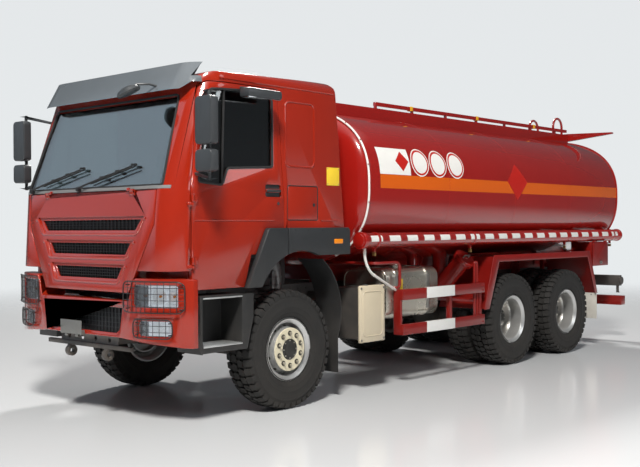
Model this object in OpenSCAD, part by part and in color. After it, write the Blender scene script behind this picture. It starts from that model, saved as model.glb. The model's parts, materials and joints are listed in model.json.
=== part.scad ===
// Tanker truck: cab-over chassis with one steered axle, a twin-wheel bogie and a closed tank.
// Lengths are in millimetres. +Z is up, the front faces -Y and +X is the vehicle's left side.
// The origin is on the ground, midway along and across the vehicle.
// Modules are laid out from the front axle, and at_axle() moves them to the vehicle's own frame.

/* [Overall] */
// Width over the side guards
overall_w = 2490; // [2300:10:2700]
// Distance from the front bumper's face to the front axle
front_overhang = 1440; // [1430:5:1500]
// Distance from the front axle to the first rear axle
wheelbase = 3825; // [3500:5:4600]
// Distance between the two rear axles
bogie_spread = 1350; // [1250:5:1500]
// Distance from the last axle to the face of the rear under-run bar
rear_overhang = 1885; // [1700:5:2300]

/* [Wheels] */
// Tyre radius under load
tyre_r = 545; // [500:5:600]
// Section width of a tyre
tyre_w = 300; // [260:5:330]
// Radius of the rim flange
rim_flange_r = 290; // [270:1:310]
// Width of a rim over its flanges
rim_w = 246; // [220:1:260]
// Distance between the middles of twin tyres
twin_pitch = 334; // [330:1:380]
// Radius of a front spindle
spindle_r = 35; // [28:1:42]
// Radius of a rear axle tube where the hubs run
rear_spindle_r = 60; // [50:1:70]
// Radius of a king pin
king_pin_r = 25; // [20:1:30]
// Radial clearance of a running bearing
bearing_gap = 0.05; // [0.02:0.01:0.1]

/* [Chassis] */
// Width over the two frame rails
frame_w = 860; // [780:5:900]
// Height of a frame rail
rail_h = 300; // [240:5:320]
// Flange width of a frame rail
rail_flange = 80; // [70:1:90]
// Plate thickness of a frame rail
rail_t = 8; // [6:1:16]
// Height of the frame's top face
frame_top = 1080; // [1060:5:1120]

/* [Cab] */
// Width of the cab body
cab_w = 2300; // [2200:10:2400]
// Thickness of the cab walls and of the doors
cab_wall = 50; // [40:1:60]
// Height of the roof at its rear edge
cab_top = 3037; // [2980:1:3100]
// Radius of the front corners in plan
cab_corner_r = 240; // [200:5:260]
// Gap round the doors and the front panel
seam = 6; // [5:0.5:8]
// Thickness of the side glass and the windscreen
glass_t = 6; // [4:1:8]
// Radius of a door hinge pin
hinge_pin_r = 8; // [6:1:10]

/* [Tank] */
// Width of the tank
tank_w = 2390; // [2200:10:2500]
// Height of the tank
tank_h = 1640; // [1400:10:1800]
// Height of the middle of the tank
tank_z = 2075; // [2040:5:2300]
// Depth of the dished heads
head_depth = 170; // [120:5:220]
// Outer radius of the hose tubes
hose_tube_r = 80; // [60:1:85]
// Half the width of the top walkway
walkway_half_w = 450; // [400:5:500]
// Radius of a manhole collar
manhole_r = 250; // [220:5:300]

/* [Hidden] */
$fn = 96;

rear_axle_1_y = wheelbase;
rear_axle_2_y = wheelbase + bogie_spread;
rear_end_y = rear_axle_2_y + rear_overhang;
axle_1_y = (front_overhang - rear_end_y) / 2;
side_x = overall_w / 2;

// Wheels
wheel_z = tyre_r;
front_tyre_x = side_x - 80 - tyre_w / 2;
rear_outer_x = side_x - 13 - tyre_w / 2;
rear_inner_x = rear_outer_x - twin_pitch;
twin_mid_x = rear_outer_x - twin_pitch / 2;
bead_r = 258;
king_pin_x = front_tyre_x - 85;
hub_r = 120;
drum_r = 197;

// Frame
rail_x = frame_w / 2;
frame_front_y = -1180;
tow_pin_r = 22;
frame_rear_y = rear_end_y - 160;

// Cab, seen from the side: [y, z] points from the front foot over the roof to the rear
cab_x = cab_w / 2;
cowl_y = -1362;
cowl_z = 1990;
screen_top_y = -1072;
screen_top_z = 2790;
screen_lean = atan2(screen_top_y - cowl_y, screen_top_z - cowl_z);
cab_front_y = -1410;
cab_foot_z = 1110;
front_lean = atan2(cowl_y - cab_front_y, cowl_z - cab_foot_z);
cab_rear_foot_y = 797;
cab_rear_top_y = 650;
arch_y = 120;
arch_z = 850;
arch_r = 620;
cab_floor_z = 1420;
cabin_floor_z = arch_z + arch_r + 30;
roof_edge_r = 110;
cab_profile = [
    [cab_front_y, cab_foot_z], [cowl_y, cowl_z], [screen_top_y, screen_top_z],
    [-1015, 2905], [-960, 2960], [-880, 2985], [560, cab_top], [610, cab_top - 10],
    [cab_rear_top_y, cab_top - 50], [cab_rear_foot_y, cab_floor_z],
    [-480, cab_floor_z], [-560, 1140], [-1330, 1140], [-1330, cab_foot_z]
];
firewall_y = -1270;
pocket_y = -1310;
lamp_box_top = 1240;
corner_panel_z = 1300;
panel_top_z = 1975;
panel_t = 40;
slot_border = 28;
slot_depth = 16;
panel_pin_r = 5;
panel_hinge_y = cowl_y - 14;
panel_hinge_z = panel_top_z + seam / 2;

// Doors: [y, z] points seen from the side
door_front_y = -1160;
door_rear_y = -65;
door_sill_z = 1140;
door_arch_start = acos((door_rear_y - arch_y) / (arch_r + 12));
door_arch_end = 180 - asin((door_sill_z - arch_z) / (arch_r + 12));
door_outline = concat(
    [
        [door_front_y, door_sill_z], [door_front_y, 1985], [-1055, 2630], [-1010, 2820],
        [-985, 2870], [-940, 2893], [-149, 2893], [door_rear_y, 1905]
    ],
    [for (i = [0:6]) arch_point(door_arch_start + i * (door_arch_end - door_arch_start) / 6, arch_r + 12)]
);
window_outline = [
    [-1085, 2053], [-1078, 2090], [-935, 2812], [-915, 2830], [-225, 2866], [-212, 2850],
    [-212, 2210], [-225, 2196], [-745, 2167], [-765, 2150], [-810, 2035], [-830, 2021],
    [-1070, 2038]
];
hinge_x = cab_x + 17;
hinge_y = door_front_y - seam / 2;

// Flares, seen from the side
flare_out = 58;
flare_top_z = 1653;
flare_lip_r = arch_r - 28;
flare_end = asin((1395 - arch_z) / flare_lip_r);
flare_start = 180 - asin((1133 - arch_z) / flare_lip_r);

// Tank
tank_front_y = 1130;
tank_rear_y = rear_end_y - 360;
tank_power = 2.5;
tank_top_z = tank_z + tank_h / 2;
tank_bottom_z = tank_z - tank_h / 2;
hose_tube_x = side_x - 15 - hose_tube_r;
hose_tube_z = 1522;
walkway_front_y = tank_front_y + 20;
walkway_rear_y = tank_rear_y - 20;
walkway_z = tank_top_z + 5;
walkway_wall_top = 2990;
rail_top_z = 3060;
manhole_y = [tank_front_y + 1550, tank_rear_y - 1550];
lid_z = walkway_z + 60;
lid_pin_r = 5;

// Superellipse outline of the tank, grown by d
function tank_point(a, d) = [
    (tank_w / 2 + d) * sign(cos(a)) * pow(abs(cos(a)), 2 / tank_power),
    (tank_h / 2 + d) * sign(sin(a)) * pow(abs(sin(a)), 2 / tank_power)
];
// Point on the wheel arch at an angle, at a radius
function arch_point(a, r) = [arch_y + r * cos(a), arch_z + r * sin(a)];
// Points of a round stretch
function arc(x, y, r, a0, a1, n) = [
    for (i = [0:n]) [x + r * cos(a0 + (a1 - a0) * i / n), y + r * sin(a0 + (a1 - a0) * i / n)]
];

module at_axle() {
    translate([0, axle_1_y, 0]) children();
}

// Copies a left-hand piece to both sides
module both_sides() {
    children();
    mirror([1, 0, 0]) children();
}

// Extrudes a [y, z] outline across the vehicle, from x0 to x1
module across(x0, x1) {
    translate([x0, 0, 0]) rotate([90, 0, 90]) linear_extrude(height = x1 - x0) children();
}

// Extrudes an [x, z] outline along the vehicle, from y0 to y1
module along(y0, y1) {
    translate([0, y1, 0]) rotate([90, 0, 0]) linear_extrude(height = y1 - y0) children();
}

// Box given by two corners
module block(low, high) {
    translate(low) cube(high - low);
}

// Round bar between two points
module bar(from, to, r) {
    d = to - from;
    translate(from) rotate([0, acos(d[2] / norm(d)), atan2(d[1], d[0])]) cylinder(h = norm(d), r = r);
}

// Rectangle with rounded corners between two corners
module round_rect(low, high, r) {
    polygon(concat(
        arc(high[0] - r, high[1] - r, r, 0, 90, 6), arc(low[0] + r, high[1] - r, r, 90, 180, 6),
        arc(low[0] + r, low[1] + r, r, 180, 270, 6), arc(high[0] - r, low[1] + r, r, 270, 360, 6)
    ));
}

// Chassis

module frame_rail() {
    along(frame_front_y, frame_rear_y) polygon([
        [rail_x, frame_top], [rail_x - rail_flange, frame_top], [rail_x - rail_flange, frame_top - rail_t],
        [rail_x - rail_t, frame_top - rail_t], [rail_x - rail_t, frame_top - rail_h + rail_t],
        [rail_x - rail_flange, frame_top - rail_h + rail_t], [rail_x - rail_flange, frame_top - rail_h],
        [rail_x, frame_top - rail_h]
    ]);
}

module cross_member(y) {
    block([-rail_x + rail_t, y, frame_top - rail_h + 40], [rail_x - rail_t, y + 60, frame_top - 60]);
}

module front_underguard() {
    difference() {
        block([-430, -1370, 650], [430, -1362, 735]);
        for (x = [-300:200:300]) translate([x, -1340, 692]) rotate([90, 0, 0]) cylinder(h = 60, r = 22);
    }
    both_sides() block([360, -1362, 660], [430, frame_front_y, 730]);
    both_sides() block([360, frame_front_y - 20, 660], [430, frame_front_y + 60, frame_top - rail_h]);
    along(-1385, -1345) polygon([[-620, 612], [620, 612], [620, 650], [-620, 650]]);
}

module tow_eye() {
    difference() {
        union() {
            block([250, -1395, 560], [300, -1345, 612]);
            translate([250, -1370, 560]) rotate([0, 90, 0]) cylinder(h = 50, r = 50);
        }
        translate([240, -1370, 560]) rotate([0, 90, 0]) cylinder(h = 70, r = tow_pin_r);
    }
}

module rear_coupling() {
    difference() {
        block([-60, frame_rear_y - 20, frame_top - rail_h + 60], [60, frame_rear_y + 150, frame_top - 80]);
        block([-61, frame_rear_y + 60, frame_top - rail_h + 100], [61, frame_rear_y + 151, frame_top - 120]);
        translate([0, frame_rear_y + 110, frame_top - rail_h]) cylinder(h = rail_h, r = tow_pin_r);
    }
}

module cab_mounts() {
    both_sides() {
        block([rail_x - 70, -1130, frame_top], [rail_x - 10, -1070, door_sill_z]);
        block([rail_x - 70, 640, frame_top], [rail_x - 10, 700, cab_floor_z]);
    }
}

module chassis_frame() {
    color("dimgray") {
        both_sides() frame_rail();
        cross_member(frame_front_y);
        for (y = [-700, 900, 1900, 2900, rear_axle_1_y + 645, rear_axle_2_y + 900]) cross_member(y);
        cross_member(frame_rear_y - 70);
        front_underguard();
        both_sides() tow_eye();
        rear_coupling();
        cab_mounts();
    }
}

module engine_block() {
    color("darkslategray") {
        block([-340, -470, 700], [340, 760, cab_floor_z - 40]);
        both_sides() block([340, -120, 860], [rail_x - rail_t, -20, 960]);
    }
}

// Radiator in front of the engine, carried between the rails
module radiator() {
    color("black") {
        block([-330, -1060, 640], [330, -980, 1110]);
        both_sides() block([330, -1040, 860], [rail_x - rail_t, -1000, 920]);
    }
}

module leaf_spring(y, length, z, x) {
    for (i = [0:3]) {
        half = length / 2 - 120 * i;
        block([x - 38, y - half, z - 18 * i], [x + 38, y + half, z - 18 * i + 18]);
    }
}

module front_axle() {
    color("dimgray") {
        difference() {
            union() {
                block([-king_pin_x, -50, wheel_z - 105], [king_pin_x, 50, wheel_z - 25]);
                both_sides() translate([king_pin_x, 0, wheel_z - 65]) cylinder(h = 130, r = 52);
                both_sides() block([king_pin_x - 160, -50, wheel_z - 60], [king_pin_x, 50, wheel_z + 40]);
                both_sides() block([350, -70, wheel_z - 25], [430, 70, wheel_z + 30]);
            }
            both_sides() translate([king_pin_x, 0, wheel_z - 110])
                cylinder(h = 220, r = king_pin_r + bearing_gap);
            both_sides() translate([king_pin_x, 0, wheel_z - 110]) cylinder(h = 45, r = 75);
        }
        both_sides() leaf_spring(0, 1640, wheel_z + 84, 390);
        both_sides() for (y = [-800, 780])
            block([355, y, wheel_z + 84], [425, y + 30, frame_top - rail_h]);
    }
}

module rear_axle(y) {
    tube = rail_x + 70;
    end = twin_mid_x + 70;
    translate([0, y, wheel_z]) {
        rotate([0, 90, 0]) rotate_extrude() polygon([
            [0, -end], [rear_spindle_r, -end], [rear_spindle_r, -tube], [95, -tube], [95, -200],
            [150, -170], [200, -100], [215, -20], [215, 20], [200, 100], [150, 170],
            [95, 200], [95, tube], [rear_spindle_r, tube], [rear_spindle_r, end], [0, end]
        ]);
        both_sides() block([345, -90, 0], [435, 90, 130]);
    }
}

module rear_axles() {
    spring_z = wheel_z + 130;
    middle_y = (rear_axle_1_y + rear_axle_2_y) / 2;
    color("dimgray") {
        rear_axle(rear_axle_1_y);
        rear_axle(rear_axle_2_y);
        both_sides() leaf_spring(middle_y, bogie_spread + 240, spring_z + 54, 390);
        both_sides() for (y = [rear_axle_1_y, rear_axle_2_y])
            block([352, y - 60, wheel_z + 130], [428, y + 60, spring_z + 54]);
        both_sides() block([345, middle_y - 110, wheel_z + 60], [435, middle_y + 110, spring_z]);
        both_sides() block([436, middle_y - 110, wheel_z + 60], [480, middle_y + 110, frame_top - rail_h]);
        both_sides() block([345, middle_y - 110, spring_z + 72], [480, middle_y + 110, frame_top - rail_h]);
    }
}

module knuckle() {
    translate([king_pin_x, 0, wheel_z]) {
        translate([0, 0, -108]) cylinder(h = 216, r = king_pin_r);
        for (z = [-108, 70]) {
            translate([0, 0, z]) cylinder(h = 38, r = 48);
            block([0, -48, z], [78, 48, z + 38]);
        }
        block([56, -60, -108], [78, 60, 108]);
        translate([70, 0, 0]) rotate([0, 90, 0]) cylinder(h = 115, r = spindle_r);
    }
}

module knuckle_left() {
    color("dimgray") knuckle();
}

module knuckle_right() {
    color("dimgray") mirror([1, 0, 0]) knuckle();
}

// Wheels, drawn about their own axis along X with the outside towards +X

module tyre_ring() {
    half = tyre_w / 2;
    bead_half = rim_w / 2 - 17;
    rotate([0, 90, 0]) rotate_extrude($fn = 128) polygon([
        [bead_r + 0.3, -bead_half], [rim_flange_r + 3, -bead_half - 4.5],
        [rim_flange_r + 6, -0.87 * half], [0.62 * tyre_r, -0.95 * half],
        [0.74 * tyre_r, -half], [0.86 * tyre_r, -0.96 * half], [0.95 * tyre_r, -0.90 * half],
        [0.987 * tyre_r, -0.84 * half], [tyre_r, -0.74 * half],
        [tyre_r, 0.74 * half], [0.987 * tyre_r, 0.84 * half], [0.95 * tyre_r, 0.90 * half],
        [0.86 * tyre_r, 0.96 * half], [0.74 * tyre_r, half], [0.62 * tyre_r, 0.95 * half],
        [rim_flange_r + 6, 0.87 * half], [rim_flange_r + 3, bead_half + 4.5], [bead_r + 0.3, bead_half]
    ]);
}

// Rim barrel with its flanges
module rim_barrel() {
    half = rim_w / 2;
    rotate([0, 90, 0]) rotate_extrude($fn = 128) polygon([
        [bead_r, -half + 16], [rim_flange_r, -half + 12], [rim_flange_r, -half], [rim_flange_r - 14, -half],
        [bead_r - 16, -half + 26], [bead_r - 18, 0], [bead_r - 16, half - 26],
        [rim_flange_r - 14, half], [rim_flange_r, half], [rim_flange_r, half - 12], [bead_r, half - 16]
    ]);
}

// Front wheel: a disc that bulges outwards, with the hub and the brake drum
module front_rim() {
    translate([front_tyre_x, 0, wheel_z]) {
        difference() {
            union() {
                rim_barrel();
                rotate([0, 90, 0]) rotate_extrude($fn = 128) polygon([
                    [0, 10], [150, 10], [168, 20], [bead_r - 12, -46], [bead_r - 12, -32],
                    [176, 36], [168, 60], [150, 78], [110, 80], [98, 92], [95, 128], [70, 136], [0, 136]
                ]);
                rotate([0, 90, 0]) rotate_extrude($fn = 128)
                    polygon([
                        [drum_r - 16, -62], [drum_r, -62], [drum_r, 24], [0, 24], [0, 8], [drum_r - 16, 8]
                    ]);
            }
            rotate([0, 90, 0]) translate([0, 0, -60]) cylinder(h = 164, r = spindle_r + bearing_gap);
            for (i = [0:9]) rotate([36 * i + 18, 0, 0]) translate([0, 0, 205])
                rotate([0, 90, 0]) cylinder(h = 200, r = 14, center = true, $fn = 24);
        }
    }
}

module front_rim_left() {
    color("silver") front_rim();
}

module front_rim_right() {
    color("silver") mirror([1, 0, 0]) front_rim();
}

module front_tyre_left() {
    color("black") translate([front_tyre_x, 0, wheel_z]) tyre_ring();
}

module front_tyre_right() {
    color("black") mirror([1, 0, 0]) translate([front_tyre_x, 0, wheel_z]) tyre_ring();
}

// Twin rear rims, bolted back to back between the tyres, with the hub
module rear_rims(y) {
    disc_t = 14;
    difference() {
        union() {
            for (side = [-1, 1]) translate([twin_mid_x + side * twin_pitch / 2, y, wheel_z]) rim_barrel();
            translate([twin_mid_x, y, wheel_z]) rotate([0, 90, 0]) rotate_extrude($fn = 128) polygon([
                [0, -disc_t], [180, -disc_t], [bead_r - 12, -twin_pitch / 2 + 40],
                [bead_r - 12, -twin_pitch / 2 + 56], [190, 0],
                [bead_r - 12, twin_pitch / 2 - 56], [bead_r - 12, twin_pitch / 2 - 40], [180, disc_t],
                [hub_r, disc_t], [hub_r - 6, 110], [80, 122], [0, 122]
            ]);
        }
        translate([twin_mid_x, y, wheel_z]) rotate([0, 90, 0]) translate([0, 0, -60])
            cylinder(h = 60 + 74, r = rear_spindle_r + bearing_gap);
    }
}

module rear_rims_1_left() {
    color("silver") rear_rims(rear_axle_1_y);
}

module rear_rims_1_right() {
    color("silver") mirror([1, 0, 0]) rear_rims(rear_axle_1_y);
}

module rear_rims_2_left() {
    color("silver") rear_rims(rear_axle_2_y);
}

module rear_rims_2_right() {
    color("silver") mirror([1, 0, 0]) rear_rims(rear_axle_2_y);
}

module rear_tyres(y) {
    for (x = [rear_inner_x, rear_outer_x]) translate([x, y, wheel_z]) tyre_ring();
}

module rear_tyres_1_left() {
    color("black") rear_tyres(rear_axle_1_y);
}

module rear_tyres_1_right() {
    color("black") mirror([1, 0, 0]) rear_tyres(rear_axle_1_y);
}

module rear_tyres_2_left() {
    color("black") rear_tyres(rear_axle_2_y);
}

module rear_tyres_2_right() {
    color("black") mirror([1, 0, 0]) rear_tyres(rear_axle_2_y);
}

// Bumper and lamps

bumper_y = -front_overhang;
bumper_t = 30;
bumper_wrap_y = -1172;
bumper_corner = [side_x - 5, -1224];

module bumper_plan(d) {
    front = bumper_y + d;
    side = side_x - 5 - d;
    polygon([
        [-side, bumper_wrap_y], [-side, bumper_corner[1]], [-side + 60, -1290 + d / 2],
        [-900, front + 22], [-600, front],
        [600, front], [900, front + 22], [side - 60, -1290 + d / 2], [side, bumper_corner[1]],
        [side, bumper_wrap_y]
    ]);
}

lens_gap = [0.3, 0.3];
lamp_low = [722, 1002];
lamp_high = [1142, 1188];
fog_low = [780, 768];
fog_high = [1090, 892];
intake = [[-560, 985], [560, 985], [520, 800], [470, 768], [-470, 768], [-520, 800]];

module front_bumper() {
    color("orangered") {
        difference() {
            intersection() {
                translate([0, 0, 600]) linear_extrude(height = 700) bumper_plan(0);
                along(-1500, -1100) polygon([
                    [-side_x, 672], [-900, 705], [-560, 732], [560, 732], [900, 705], [side_x, 672],
                    [side_x, lamp_box_top - 10], [side_x - 40, lamp_box_top], [742, lamp_box_top],
                    [716, lamp_box_top - 14], [650, 1048], [-650, 1048], [-716, lamp_box_top - 14],
                    [-742, lamp_box_top], [-side_x + 40, lamp_box_top], [-side_x, lamp_box_top - 10]
                ]);
            }
            intersection() {
                translate([0, 0, 500]) linear_extrude(height = 800) bumper_plan(bumper_t);
                union() {
                    block([-side_x, -1500, 500], [side_x, -1100, 1018]);
                    both_sides() block([700, -1500, 1000], [side_x, -1100, lamp_box_top - 24]);
                }
            }
            along(-1500, -1100) polygon(intake);
            block([-rail_x, frame_front_y, 1000], [rail_x, bumper_wrap_y + 1, 1060]);
            along(-1500, bumper_y + 14) offset(delta = 26) polygon(intake);
            both_sides() along(-1500, -1100) round_rect(lamp_low, lamp_high, 24);
            both_sides() along(-1500, -1100) round_rect(fog_low, fog_high, 24);
        }
        both_sides() block([340, bumper_y + bumper_t, 990], [420, frame_front_y, 1040]);
        both_sides() block([360, frame_front_y - 60, 960], [420, frame_front_y, 990]);
    }
}

module headlamps() {
    color("white") both_sides() {
        intersection() {
            translate([0, 0, 900]) linear_extrude(height = 400) difference() {
                bumper_plan(8);
                bumper_plan(bumper_t + 60);
            }
            along(-1500, -1100) round_rect(lamp_low + lens_gap, lamp_high - lens_gap, 24);
        }
        intersection() {
            translate([0, 0, 700]) linear_extrude(height = 300) difference() {
                bumper_plan(8);
                bumper_plan(bumper_t + 60);
            }
            along(-1500, -1100) round_rect(fog_low + lens_gap, fog_high - lens_gap, 24);
        }
    }
}

// Entry steps: an outer panel, two treads and a back plate
step_x = side_x - 45;
step_rear_y = -615;

module entry_step() {
    across(step_x - 14, step_x) polygon([
        [-1114, 612], [-578, 612], [-503, 885], [-503, 1090], [-1114, 1090]
    ]);
    difference() {
        block([step_x - 300, -1114, 612], [step_x - 14, step_rear_y, 1090]);
        block([step_x - 280, -1090, 672], [step_x, step_rear_y - 24, 1060]);
    }
    block([rail_x, -960, 880], [step_x - 300, -900, 950]);
}

module entry_steps() {
    color("black") difference() {
        both_sides() entry_step();
        both_sides() block([step_x - 280, -1090, 672], [step_x + 1, step_rear_y - 24, 1060]);
    }
}

module front_mudguards() {
    outer = arch_r - 6;
    inner = arch_r - 14;
    color("black") both_sides() {
        across(820, cab_x - 4) polygon(concat(
            [for (a = [56:-8:-24]) arch_point(a, outer)],
            [[arch_point(-24, outer)[0], 255], [arch_point(-24, inner)[0], 255]],
            [for (a = [-24:8:56]) arch_point(a, inner)]
        ));
        block([rail_x, 690, 900], [830, 728, 940]);
    }
}

// Cab

// Upright prism with rounded front corners whose front face leans back through [y, z]
module leaning_prism(y, z, lean, half_w, r) {
    translate([0, y, z]) rotate([-lean, 0, 0]) translate([0, 0, -1600]) linear_extrude(height = 3600)
        polygon(concat(
            arc(half_w - r, r, r, 0, -90, 8), arc(-half_w + r, r, r, -90, -180, 8),
            [[-half_w, 3200], [half_w, 3200]]
        ));
}

// The cab's upright faces alone, moved inwards by d
module cab_walls(d) {
    intersection() {
        leaning_prism(cowl_y + d / cos(front_lean), cowl_z, front_lean, cab_x - d, cab_corner_r - d);
        leaning_prism(cowl_y + d / cos(screen_lean), cowl_z, screen_lean, cab_x - d, cab_corner_r - d);
    }
}

// The cab's outer form, moved inwards by d
module cab_form(d) {
    intersection() {
        across(-cab_x + d, cab_x - d) offset(delta = -d) polygon(cab_profile);
        along(-1600, 1000) offset(delta = -d) polygon(concat(
            [[-cab_x, 900], [cab_x, 900]],
            arc(cab_x - roof_edge_r, cab_top - roof_edge_r, roof_edge_r, 0, 90, 6),
            arc(-cab_x + roof_edge_r, cab_top - roof_edge_r, roof_edge_r, 90, 180, 6)
        ));
        cab_walls(d);
    }
}

screen_outline = [
    [-985, 2012], [985, 2012], [992, 2030], [905, 2760], [880, 2785], [-880, 2785], [-905, 2760],
    [-992, 2030]
];
panel_outline = [
    [-940, panel_top_z], [940, panel_top_z], [925, 1690], [620, 1112], [-620, 1112], [-925, 1690]
];
slots = [
    [[-735, 1730], [735, 1730], [660, 1640], [-660, 1640]],
    [[-600, 1530], [600, 1530], [535, 1432], [-535, 1432]],
    [[-495, 1322], [495, 1322], [435, 1225], [-435, 1225]]
];

module door_hole() {
    offset(delta = seam) polygon(door_outline);
}

module cabin_space() {
    intersection() {
        cab_form(cab_wall);
        across(-cab_x, cab_x) polygon([
            [-1100, 1190], [-1100, 1380], [firewall_y, 1420], [firewall_y, 1950], [-1400, 2010],
            [-1400, 3200], [900, 3200], [900, cabin_floor_z], [-520, cabin_floor_z], [-600, 1190]
        ]);
    }
}

module cab_shell() {
    color("orangered") difference() {
        cab_form(0);
        cabin_space();
        difference() {
            both_sides() across(cab_x - 300, cab_x + 1) door_hole();
            cab_walls(cab_wall + seam);
        }
        along(-1500, -900) polygon(screen_outline);
        intersection() {
            along(-1500, -1300) offset(delta = seam) polygon(panel_outline);
            block([-cab_x, -1500, 1000], [cab_x, pocket_y, panel_top_z + seam]);
        }
        both_sides() block([560, -1500, 1000], [cab_x + 1, bumper_wrap_y + seam, corner_panel_z]);
        block([-600, -1500, 1000], [600, -1340, cab_foot_z + 1]);
        both_sides() translate([0, arch_y, arch_z]) rotate([0, 90, 0]) cylinder(h = 1200, r = arch_r);
        both_sides() across(cab_x - 30, cab_x + 1) round_rect([-20, 1720], [395, 2040], 20);
    }
    color("orangered") both_sides() {
        across(cab_x - 30, cab_x - 2) round_rect([-14, 1726], [389, 2034], 16);
        door_hinge_post();
        panel_hinge_post();
    }
}

// Hinge lug and pin on the cab's corner, two a side
module door_hinge_post() {
    for (z = [1320, 1840]) {
        translate([hinge_x, hinge_y, z]) cylinder(h = 30, r = hinge_pin_r + 3);
        translate([hinge_x, hinge_y, z]) cylinder(h = 97, r = hinge_pin_r);
        block([cab_x - 8, hinge_y - 46, z], [hinge_x + 4, hinge_y - 4, z + 30]);
    }
}

module door_hinge_leaf() {
    for (z = [1320, 1840]) difference() {
        union() {
            translate([hinge_x, hinge_y, z + 32]) cylinder(h = 60, r = hinge_pin_r + 3);
            block([cab_x - 6, hinge_y + 5, z + 32], [hinge_x + 4, hinge_y + 55, z + 92]);
        }
        translate([hinge_x, hinge_y, z + 30]) cylinder(h = 70, r = hinge_pin_r + bearing_gap);
    }
}

module windscreen() {
    color([0.7, 0.8, 0.85, 0.4]) intersection() {
        difference() {
            cab_form(10);
            cab_form(10 + glass_t);
        }
        along(-1500, -900) offset(delta = -0.3) polygon(screen_outline);
    }
}

module sun_visor() {
    color([0.25, 0.28, 0.3]) difference() {
        intersection() {
            union() {
                difference() {
                    leaning_prism(-1178, 2820, 30, cab_x - 25, cab_corner_r);
                    leaning_prism(-1168, 2820, 30, cab_x - 33, cab_corner_r - 8);
                }
                intersection() {
                    leaning_prism(-1170, 2820, 30, cab_x - 25, cab_corner_r);
                    for (x = [-900, -320, 320, 900]) block([x - 6, -1200, 2885], [x + 6, -990, 2935]);
                }
            }
            across(-cab_x, cab_x) polygon([
                [-1400, 2820], [-1150, 2820], [-1066, 2884], [-990, 2884], [-990, 2936], [-1054, 2937],
                [-950, 3060],
                [-1400, 3060]
            ]);
        }
        cab_form(-0.3);
    }
}

module wiper(x) {
    translate([x, cowl_y - 14, cowl_z + 18]) rotate([-screen_lean, 0, 0]) {
        rotate([90, 0, 0]) translate([0, 0, -19.5]) cylinder(h = 35, r = 22);
        bar([0, -20, 0], [430, -24, 110], 9);
        bar([150, -24, 40], [720, -24, 180], 7);
    }
}

module wipers() {
    color("black") {
        for (x = [-880, -130]) difference() {
            wiper(x);
            cab_form(-0.3);
        }
    }
}

module flare_outline() {
    polygon(concat(
        [
            [-574, 1133], [-318, 1640], [-298, flare_top_z], [775, flare_top_z],
            [cab_rear_foot_y, 1630], [cab_rear_foot_y, 1395]
        ],
        [for (i = [0:12]) arch_point(
            flare_end + i * (flare_start - flare_end) / 12, flare_lip_r)]
    ));
}

module flare(y0, y1) {
    difference() {
        intersection() {
            across(cab_x + 0.3, cab_x + flare_out) flare_outline();
            block([cab_x, y0, 1000], [cab_x + flare_out + 1, y1, 1700]);
        }
        across(cab_x - 1, cab_x + flare_out - 12) offset(delta = -14) flare_outline();
    }
}

module cab_flares() {
    color("black") both_sides() flare(door_rear_y + seam, 900);
}

module door_flare_left() {
    color("black") flare(-700, door_rear_y);
}

module door_flare_right() {
    color("black") mirror([1, 0, 0]) flare(-700, door_rear_y);
}

module front_panel() {
    color("orangered") {
        difference() {
            intersection() {
                difference() {
                    cab_form(0);
                    cab_walls(panel_t);
                }
                along(-1500, -1250) polygon(panel_outline);
            }
            for (slot = slots) along(-1500, -1250) polygon(slot);
            difference() {
                for (slot = slots) along(-1500, -1250) offset(delta = slot_border) polygon(slot);
                cab_walls(slot_depth);
            }
        }
        both_sides() difference() {
            union() {
                translate([600, panel_hinge_y, panel_hinge_z]) rotate([0, 90, 0]) cylinder(h = 60, r = 9);
                block([600, panel_hinge_y - 4, panel_hinge_z - 40],
                    [660, panel_hinge_y + 14, panel_hinge_z - 4]);
            }
            translate([590, panel_hinge_y, panel_hinge_z]) rotate([0, 90, 0])
                cylinder(h = 80, r = panel_pin_r + bearing_gap);
        }
    }
}

// Pins of the front panel on the cowl, with their lugs
module panel_hinge_post() {
    translate([565, panel_hinge_y, panel_hinge_z]) rotate([0, 90, 0]) cylinder(h = 94, r = panel_pin_r);
    translate([565, panel_hinge_y, panel_hinge_z]) rotate([0, 90, 0]) cylinder(h = 32, r = 9);
    block([565, panel_hinge_y - 4, panel_hinge_z], [597, cowl_y + 20, panel_hinge_z + 22]);
}

module door() {
    difference() {
        intersection() {
            difference() {
                cab_form(0);
                cab_walls(cab_wall);
            }
            across(cab_x - 300, cab_x) polygon(door_outline);
        }
        across(0, cab_x + 1) polygon(window_outline);
        across(cab_x - 24, cab_x + 1) round_rect([-300, 1930], [-105, 2040], 18);
    }
    across(cab_x - 24, cab_x + 10) round_rect([-280, 1968], [-125, 2002], 16);
    door_hinge_leaf();
}

module door_left() {
    color("orangered") door();
}

module door_right() {
    color("orangered") mirror([1, 0, 0]) door();
}

module door_glass() {
    intersection() {
        difference() {
            cab_form(20);
            cab_form(20 + glass_t);
        }
        across(0, cab_x) offset(delta = -0.3) polygon(window_outline);
    }
}

module door_glass_left() {
    color([0.5, 0.6, 0.6, 0.4]) door_glass();
}

module door_glass_right() {
    color([0.5, 0.6, 0.6, 0.4]) mirror([1, 0, 0]) door_glass();
}

// Mirror arms with the main and the wide-angle mirror
mirror_x = cab_x + 210;
mirror_y = -1150;

module mirrors() {
    difference() {
        union() {
            bar([cab_x - 120, -1000, 2680], [mirror_x, mirror_y, 2760], 13);
            bar([cab_x - 20, -1110, 2110], [mirror_x, mirror_y, 2060], 13);
        }
        cab_form(-0.3);
    }
    bar([mirror_x, mirror_y, 2050], [mirror_x, mirror_y, 2770], 14);
    for (z = [[2330, 2720], [2110, 2290]]) translate([0, mirror_y - 45, 0]) along(-35, 50)
        round_rect([mirror_x - 90, z[0]], [mirror_x + 110, z[1]], 40);
}

module mirrors_left() {
    color("darkslategray") mirrors();
}

module mirrors_right() {
    color("darkslategray") mirror([1, 0, 0]) mirrors();
}

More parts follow.
